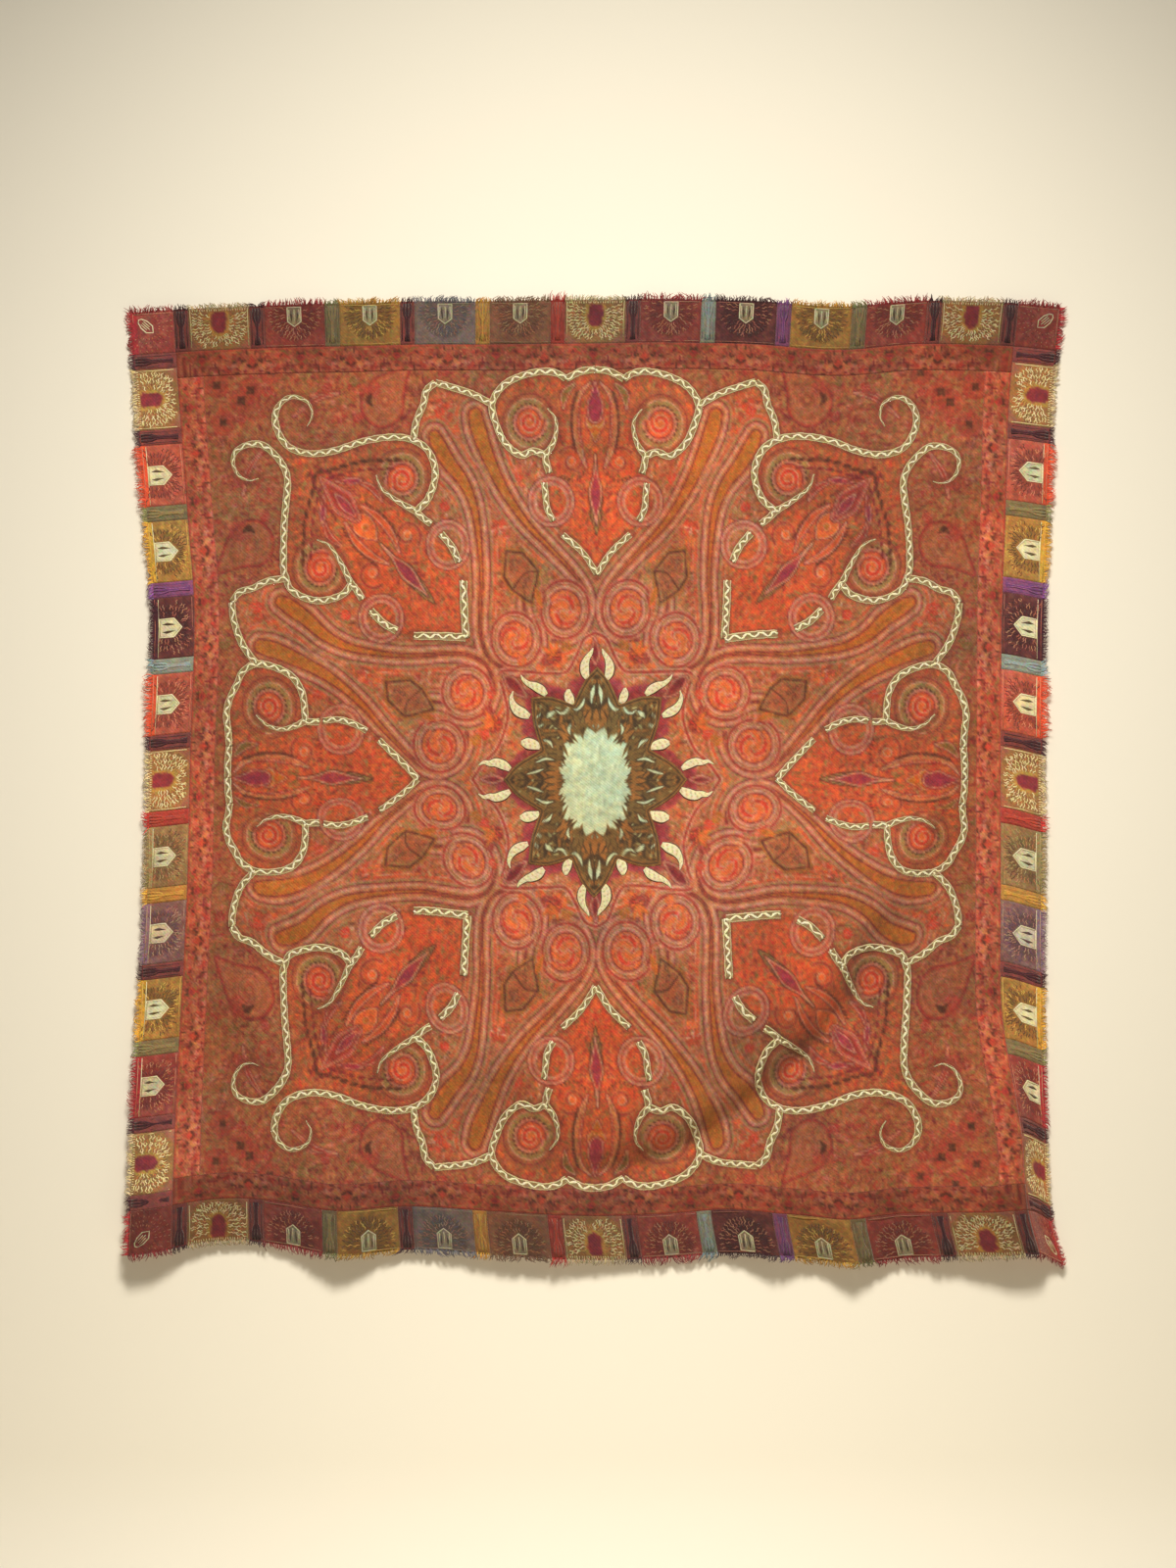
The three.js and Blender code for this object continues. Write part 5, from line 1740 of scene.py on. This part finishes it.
def make_ribbons(material):
    """The zigzag ribbons, raised on the field: a band with two pale edges and a bold wavy line."""
    rng = np.random.default_rng(SEEDS["ribbons"])
    batch = Batch()
    for name in RIBBONS:
        for is_side in (False, True):
            points = SIDE_RIBBONS.get(name, RIBBONS[name]) if is_side else RIBBONS[name]
            drawn = spline(points, RIBBON_STEP)
            for side, level in ((-1, 1), (1, 1), (1, -1), (-1, -1)):
                shape = drawn[:, ::-1] if is_side else drawn
                width = RIBBON_WIDTHS.get(name, RIBBON_WIDTH) * rng.uniform(0.92, 1.08, len(shape))
                share = np.linspace(0, 1, len(shape))
                if name in HOOKS:
                    width = width * (1 - 0.8 * share)
                if name in TAILS:
                    width = width * np.interp(share, (0, 0.76, 1), (1, 1, 0.16))
                u, v = from_design(shape[:, 0], shape[:, 1], side, level)
                add_band(batch, u, v, width)
                add_wave(batch, u, v, width, rng)
    piece = batch.build("zigzag_ribbons", material)


# Across a ribbon: bottom corner, edge, ground, ground, edge and bottom corner, with their heights
RIBBON_SHARES = np.array([-0.5, -0.36, -0.33, 0.33, 0.36, 0.5])
RIBBON_OUTS = WALL + RIBBON_HEIGHT + np.array([-1.0, 0.3, 0, 0, 0.3, -1.0])


def add_strip(batch, u, v, width, shares, outs, tones):
    """A closed strip along flat places, from its section: shares of its width, heights and colours."""
    du, dv = np.gradient(u), np.gradient(v)
    length = np.hypot(du, dv) + 1e-9
    points_u = u[:, None] - (dv / length)[:, None] * shares * width[:, None]
    points_v = v[:, None] + (du / length)[:, None] * shares * width[:, None]
    corners = len(shares)
    n = np.arange(len(u) - 1) * corners
    sides = [np.stack([n + a, n + b, n + b + corners, n + a + corners], axis=1)
             for a, b in zip(range(corners), [*range(1, corners), 0], strict=True)]
    end = np.arange(corners)
    ends = np.stack([end[::-1], (len(u) - 1) * corners + end])
    batch.add(points_u, points_v, np.broadcast_to(outs, points_u.shape), tones, [*sides, ends])


def add_band(batch, u, v, width):
    """A flat ribbon with a raised edge on either side."""
    edge, ground = (np.array(rgb, float) for rgb in (RIBBON_EDGE, RIBBON_GROUND))
    tones = np.tile([edge, edge, ground, ground, edge, edge], (len(u), 1))
    add_strip(batch, u, v, width, RIBBON_SHARES, RIBBON_OUTS, tones)


def add_wave(batch, u, v, width, rng):
    """The wavy line on a ribbon, thick where it crosses and thin where it turns."""
    along = np.concatenate([[0], np.cumsum(np.hypot(np.diff(u), np.diff(v)))])
    if along[-1] < WAVE_LENGTH:
        return
    waves = max(1, round(along[-1] / WAVE_LENGTH))
    phase = np.linspace(0, waves * 2 * math.pi, waves * 8 + 1)
    places = np.linspace(0, along[-1], len(phase)) + rng.uniform(-1.2, 1.2, len(phase))
    wide = np.interp(places, along, width)
    swing = WAVE_REACH * wide * np.sin(phase)
    du, dv = np.gradient(u, along), np.gradient(v, along)
    length = np.hypot(du, dv)
    wave_u = np.interp(places, along, u) - swing * np.interp(places, along, dv / length)
    wave_v = np.interp(places, along, v) + swing * np.interp(places, along, du / length)
    stroke = wide * (0.2 + 0.17 * np.abs(np.cos(phase))) * rng.uniform(0.75, 1.3, len(phase))
    add_thread(batch, wave_u, wave_v, stroke, 0.9, RIBBON_WAVE, base=WALL + RIBBON_HEIGHT - 0.1)


def medallion_piece(material):
    """The pale middle with its star of brown leaves, laid over the hole in the field."""
    outline = star_outline(3.0)
    angle = np.arctan2(outline[:, 0], outline[:, 1])
    order = np.argsort(angle)
    radius = np.hypot(outline[:, 0], outline[:, 1])
    spokes = np.linspace(-math.pi, math.pi, MEDALLION_SPOKES, endpoint=False)
    reach = np.interp(spokes, angle[order], radius[order], period=2 * math.pi)
    shares = np.linspace(0, 1, MEDALLION_RINGS + 1)[1:]
    x = shares[:, None] * reach * np.sin(spokes)
    y = shares[:, None] * reach * np.cos(spokes)
    colour = medallion_colour(x, y)
    is_leaf = np.clip((150 - colour.mean(axis=-1)) / 30, 0, 1)
    lift = 0.5 + 0.8 * is_leaf
    lift[-1] = 0.15
    count = MEDALLION_SPOKES
    u = np.concatenate([[0], x.ravel()])
    v = MEDALLION_DROP - np.concatenate([[0], y.ravel()])
    ring = np.arange(count)
    after = (ring + 1) % count
    faces = [np.stack([np.zeros(count, int), 1 + after, 1 + ring], axis=1)]
    quads = []
    for k in range(MEDALLION_RINGS - 1):
        first = 1 + k * count
        outer = first + count
        quads.append(np.stack([first + ring, first + after, outer + after, outer + ring], axis=1))
    # The back repeats the middle and every few rings, out to the rim
    total = len(u)
    kept = [1 + k * count for k in range(BACK_EVERY - 1, MEDALLION_RINGS, BACK_EVERY)]
    backs = [total + 1 + n * count for n in range(len(kept))]
    chosen = np.concatenate([first + ring for first in kept])
    faces.append(np.stack([np.full(count, total), backs[0] + ring, backs[0] + after], axis=1))
    for first, second in zip(backs, backs[1:], strict=False):
        quads.append(np.stack([first + after, first + ring, second + ring, second + after], axis=1))
    rim = kept[-1]
    quads.append(np.stack([rim + ring, rim + after, backs[-1] + after, backs[-1] + ring], axis=1))
    out = WALL + np.concatenate([[0.5], lift.ravel(), np.full(1 + len(chosen), 0.05)])
    tones = np.concatenate([colour[:1, 0], colour.reshape(-1, 3)])
    tones = np.concatenate([tones, reverse_colour(tones[:1]), reverse_colour(tones[chosen])])
    u = np.concatenate([u, [0], u[chosen]])
    v = np.concatenate([v, [MEDALLION_DROP], v[chosen]])
    batch = Batch()
    batch.add(u, v, out, tones, [faces[0][:, ::-1], faces[1][:, ::-1], np.concatenate(quads)[:, ::-1]])
    piece = batch.build("leaf_medallion", material)
    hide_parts("medallion")
    return piece


def medallion_colour(x, y):
    """The medallion's colour at a place across from its middle and up from it."""
    colour = sample(medallion_design.colour, DESIGN_STEP, np.abs(x), np.abs(y))
    return tinted(colour, x, MEDALLION_DROP - y)


# The star's leaves from foot to tip, and the toothed leaves that point in over the pale wool
STAR_LEAVES = table("foot_across foot_up tip_across tip_up",
                    (0, 108, 0, 218), (60, 84, 130, 158), (74, 0, 182, 0))
INWARD_LEAVES = table(
    "across up turn length width thread",
    (0, 142, 180, 46, 15, "leaf ochre"), (9, 140, 160, 40, 12, "leaf ochre"),
    (17, 138, 138, 30, 11, "leaf ochre"), (34, 142, 190, 52, 14, "leaf brown"),
    (46, 132, 208, 48, 14, "leaf brown"), (26, 128, 176, 34, 10, "leaf brown"),
    (72, 112, 222, 40, 13, "leaf ochre"), (80, 100, 232, 40, 12, "leaf ochre"),
    (62, 116, 206, 34, 10, "leaf ochre"), (92, 84, 238, 36, 12, "leaf brown"),
    (104, 62, 248, 50, 14, "leaf brown"), (98, 50, 258, 42, 12, "leaf brown"),
    (98, 34, 262, 36, 11, "leaf ochre"), (102, 16, 262, 40, 12, "leaf ochre"),
    (104, 0, 270, 42, 13, "leaf ochre"))
PALE_GAPS = [[(5, 184, 0.6), (8, 172, 2.6), (10, 158, 1.6), (9, 150, 0.6)],
             [(24, 160, 0.6), (28, 148, 2.0), (38, 138, 1.6), (46, 139, 0.6)],
             [(56, 142, 0.6), (62, 133, 1.8), (72, 130, 1.4), (80, 136, 0.6)],
             [(84, 134, 0.8), (92, 128, 3), (98, 122, 0.8)],
             [(50, 110, 0.6), (54, 100, 1.8), (52, 90, 0.6)],
             [(112, 128, 0.6), (122, 118, 1.2), (117, 104, 1.4), (106, 108, 0.8)],
             [(86, 64, 0.6), (92, 74, 1.8), (104, 78, 0.8)], [(84, 40, 0.6), (100, 42, 1.8), (118, 35, 0.8)],
             [(104, 22, 0.6), (118, 17, 1.6), (136, 12, 0.6)]]


def paint_medallion():
    """A quarter of the pale middle and the brown leaves round it."""
    design = Design(206, 236, "pale wool")
    everywhere = (slice(None), slice(None))
    design.colour += 4 * soft_noise(design.x * 6, design.y, 21, 51)[..., None]
    around = np.arctan2(design.x / 76, design.y / 110)
    ragged = 0.10 * np.cos(8 * around) + 0.05 * soft_noise(around * 320, np.full(around.shape, 60.0), 9, 53)
    oval = np.hypot(design.x / 86, design.y / 114) - 0.04 - ragged * 0.8
    design.paint(everywhere, (oval - 0.86) * 16, "leaf brown")
    for row in STAR_LEAVES:
        foot, tip = (np.array([row[end + "_across"], row[end + "_up"]], float) for end in ("foot", "tip"))
        turn = math.degrees(math.atan2(*(tip - foot)))
        for i, share in enumerate(np.arange(-0.1, 0.92, 0.09)):
            at = foot + (tip - foot) * share
            for side in (-1, 1):
                design.leaf(*at, turn + side * (52 - 26 * share), 52 * (1.05 - share), 9.5,
                            ("leaf ochre", "leaf dark", "leaf brown")[i % 3], edge="leaf dark", strength=0.85)
        design.stroke([foot, tip], 2.4, "leaf dark")
    rng = np.random.default_rng(SEEDS["medallion"])
    for x, y in scatter(rng, 236, 13):
        thread = ("leaf ochre", "leaf dark", "leaf green", "leaf brown")[rng.integers(4)]
        if math.hypot(x / 86, y / 120) > 1:
            design.leaf(x, y, rng.uniform(0, 360), rng.uniform(9, 17), 4.4, thread, strength=0.7)
    for angle in np.arange(0.02, 1.6, 0.085):
        size = rng.uniform(0.98, 1.08)
        x, y = 92 * math.sin(angle) * size, 124 * math.cos(angle) * size
        toward = math.degrees(math.atan2(-x, -y)) + rng.uniform(-34, 34)
        thread = ("leaf ochre", "leaf brown", "leaf dark")[rng.integers(3)]
        design.leaf(x, y, toward, rng.uniform(14, 46), rng.uniform(6, 12), thread, edge="leaf brown")
    for row in INWARD_LEAVES:
        x, y, turn, length, width, thread = row.values()
        design.leaf(x, y, turn, length, width, thread, edge="leaf dark")
        along = 0.45 * length
        foot = (x + along * math.sin(math.radians(turn)), y + along * math.cos(math.radians(turn)))
        for side in (-1, 1):
            design.leaf(*foot, turn + side * 34, length * 0.42, width * 0.5, thread)
    for points in PALE_GAPS:
        design.drop([(x, y, half * 1.5) for x, y, half in points], "pale wool", [(0.2, 1.8, "leaf dark")], 4)
    loop = star_outline(3.0)
    loop = np.vstack([loop, loop[:1]])
    edge, _, _ = nearest(loop, design.x, design.y)
    rim = [(1.2, 3.4, "leaf ochre"), (3.4, 7.0, "leaf dark"), (7.0, 9.0, "leaf ochre")]
    design.bands(everywhere, edge, rim, 0.85)
    return design


medallion_design = paint_medallion()

# Raised cream flames round the star, from foot to tip, with their half widths
FLAMES = [[(20, 196, 5), (25, 208, 9), (26, 222, 9), (21, 236, 6), (14, 246, 4), (10, 255, 1)],
          [(100, 166, 5), (111, 176, 10), (124, 183, 9), (136, 187, 6), (147, 195, 4), (153, 204, 1)],
          [(132, 122, 5), (145, 128, 10), (158, 135, 10), (167, 147, 6.5), (170, 159, 4), (167, 171, 1)],
          [(172, 20, 5), (185, 28, 9.5), (201, 33, 9), (214, 31, 6), (225, 33, 4), (236, 27, 1)],
          [(50, 148, 6), (55, 158, 10), (58, 168, 9), (58, 178, 3)],
          [(110, 64, 5), (122, 69, 10), (137, 72, 11), (149, 73, 4)]]
FLAME_STEP = 4.0
FLAME_COLOUR = (208, 196, 152)
FLAME_EDGE = (96, 62, 44)
FLAME_DOT = (134, 100, 64)
# Across a flame, in shares of its half width, with the heights
FLAME_SHARES = np.array([-1.0, -0.78, -0.72, -0.18, 0.0, 0.18, 0.72, 0.78, 1.0])
FLAME_OUTS = WALL + np.array([-0.1, 0.6, 0.9, 1.3, 1.2, 1.3, 0.9, 0.6, -0.1])


def make_flames(material):
    """Cream flames in dotted stitches, two at each tip of the star and one in each notch."""
    rng = np.random.default_rng(SEEDS["flames"])
    batch = Batch()
    for points in FLAMES:
        line = spline(points, FLAME_STEP)
        for side, level in ((-1, 1), (1, 1), (1, -1), (-1, -1)):
            size = rng.uniform(1.05, 1.3)
            u = side * line[:, 0] + rng.uniform(-2, 2)
            v = MEDALLION_DROP - level * line[:, 1] + rng.uniform(-2, 2)
            add_blade(batch, u, v, line[:, 2] * size)
    piece = batch.build("star_flames", material)


def add_blade(batch, u, v, half):
    """A raised leaf with a dark edge, a cream body and a dotted middle."""
    body, edge, dot = (np.array(rgb, float) for rgb in (FLAME_COLOUR, FLAME_EDGE, FLAME_DOT))
    fleck = body * 0.55 + dot * 0.45
    tones = []
    for i in range(len(u)):
        left, right = (fleck if i % 3 == turn else body for turn in (0, 1))
        tones += [edge, edge, body, left, body, right, body, edge, edge]
    add_strip(batch, u, v, half, FLAME_SHARES, FLAME_OUTS, np.array(tones))


# The stage in metres: the wall behind the cloth, its bend into the floor and the floor's front
STAGE = {"half": 6.0, "top": 2.2, "wall": 0.006, "bend": 0.35, "floor": -2.6, "front": -5.0}
STAGE_COLOUR = (236, 228, 209)
BEND_STEPS = 8
# One lamp lights the front from above and one the back, placed in metres and turned in degrees
LIGHTS = table("name place turn size energy",
               ("above", (0.1, -2.9, 1.55), (38, 0, 2), 0.8, 62),
               ("behind", (0.3, 3.2, -0.3), (-80, 0, 0), 1.2, 44))
LIGHT_COLOUR = (1.0, 0.97, 0.91)
LIGHT_SPREAD = 95
WORLD_COLOUR = (1.0, 0.97, 0.92, 1)
WORLD_STRENGTH = 0.14
CAMERA_PLACE = (-0.0152, -5.0, -0.9386)
CAMERA_LENS = 59.2
CAMERA_SENSOR = 36


def make_wall():
    """A pale wall behind the cloth that runs into a floor; from behind it lets the view and light through."""
    mesh = bpy.data.meshes.new("backdrop")
    wall, bend, floor = STAGE["wall"], STAGE["bend"], STAGE["floor"]
    profile = [(wall, STAGE["top"])]
    for step in range(BEND_STEPS + 1):
        angle = math.pi / 2 * step / BEND_STEPS
        profile.append((wall - bend * (1 - math.cos(angle)), floor + bend * (1 - math.sin(angle))))
    profile.append((STAGE["front"], floor))
    points = [(x, y, z) for y, z in profile for x in (-STAGE["half"], STAGE["half"])]
    faces = [(2 * i, 2 * i + 2, 2 * i + 3, 2 * i + 1) for i in range(len(profile) - 1)]
    mesh.from_pydata(points, [], faces)
    mesh.update()
    for polygon in mesh.polygons:
        polygon.use_smooth = True
    material = plain_material("pale_wall", STAGE_COLOUR)
    nodes, links = material.node_tree.nodes, material.node_tree.links
    clear = nodes.new("ShaderNodeBsdfTransparent")
    side = nodes.new("ShaderNodeNewGeometry")
    rays = nodes.new("ShaderNodeLightPath")
    passes = nodes.new("ShaderNodeMath")
    passes.operation = "MAXIMUM"
    links.new(side.outputs["Backfacing"], passes.inputs[0])
    links.new(rays.outputs["Is Shadow Ray"], passes.inputs[1])
    either = nodes.new("ShaderNodeMixShader")
    links.new(passes.outputs[0], either.inputs["Fac"])
    links.new(nodes["Principled BSDF"].outputs["BSDF"], either.inputs[1])
    links.new(clear.outputs["BSDF"], either.inputs[2])
    links.new(either.outputs["Shader"], nodes["Material Output"].inputs["Surface"])
    mesh.materials.append(material)
    place_object("backdrop", mesh)


def light_scene():
    """The lamps and the faint light all round."""
    settings = bpy.context.scene.view_settings
    settings.view_transform = "Standard"
    settings.look = "None"
    for lamp in LIGHTS:
        light = bpy.data.lights.new(lamp["name"], "AREA")
        light.energy = lamp["energy"]
        light.size = lamp["size"]
        light.color = LIGHT_COLOUR
        light.spread = math.radians(LIGHT_SPREAD)
        holder = place_object(lamp["name"], light)
        holder.location = lamp["place"]
        holder.rotation_euler = [math.radians(turn) for turn in lamp["turn"]]
    world = bpy.data.worlds.new("world")
    world.use_nodes = True
    background = world.node_tree.nodes["Background"]
    background.inputs["Color"].default_value = WORLD_COLOUR
    background.inputs["Strength"].default_value = WORLD_STRENGTH
    bpy.context.scene.world = world


def make_camera():
    """The camera looks straight at the wall."""
    camera = bpy.data.cameras.new("camera")
    camera.lens = CAMERA_LENS
    camera.sensor_width = CAMERA_SENSOR
    camera.sensor_fit = "AUTO"
    holder = place_object("camera", camera)
    holder.location = CAMERA_PLACE
    holder.rotation_euler = (math.pi / 2, 0, 0)
    bpy.context.scene.camera = holder


make_camera()
light_scene()
make_wall()
wool = wool_material("stitched_wool")
silk = wool_material("ribbon_thread", weave=0.15, fuzz=0.5, sheen=0.2, roughness=0.8)
loose = wool_material("loose_thread", weave=0.1, fuzz=0.6, sheen=0.3, roughness=0.9)
fields = field_pieces(wool)
medallion = medallion_piece(wool_material("medallion_wool", stitch=0.05))
make_flames(silk)
inner_borders = inner_border_pieces(wool)
borders = border_pieces(wool)
make_fringes(loose)
make_ribbons(silk)
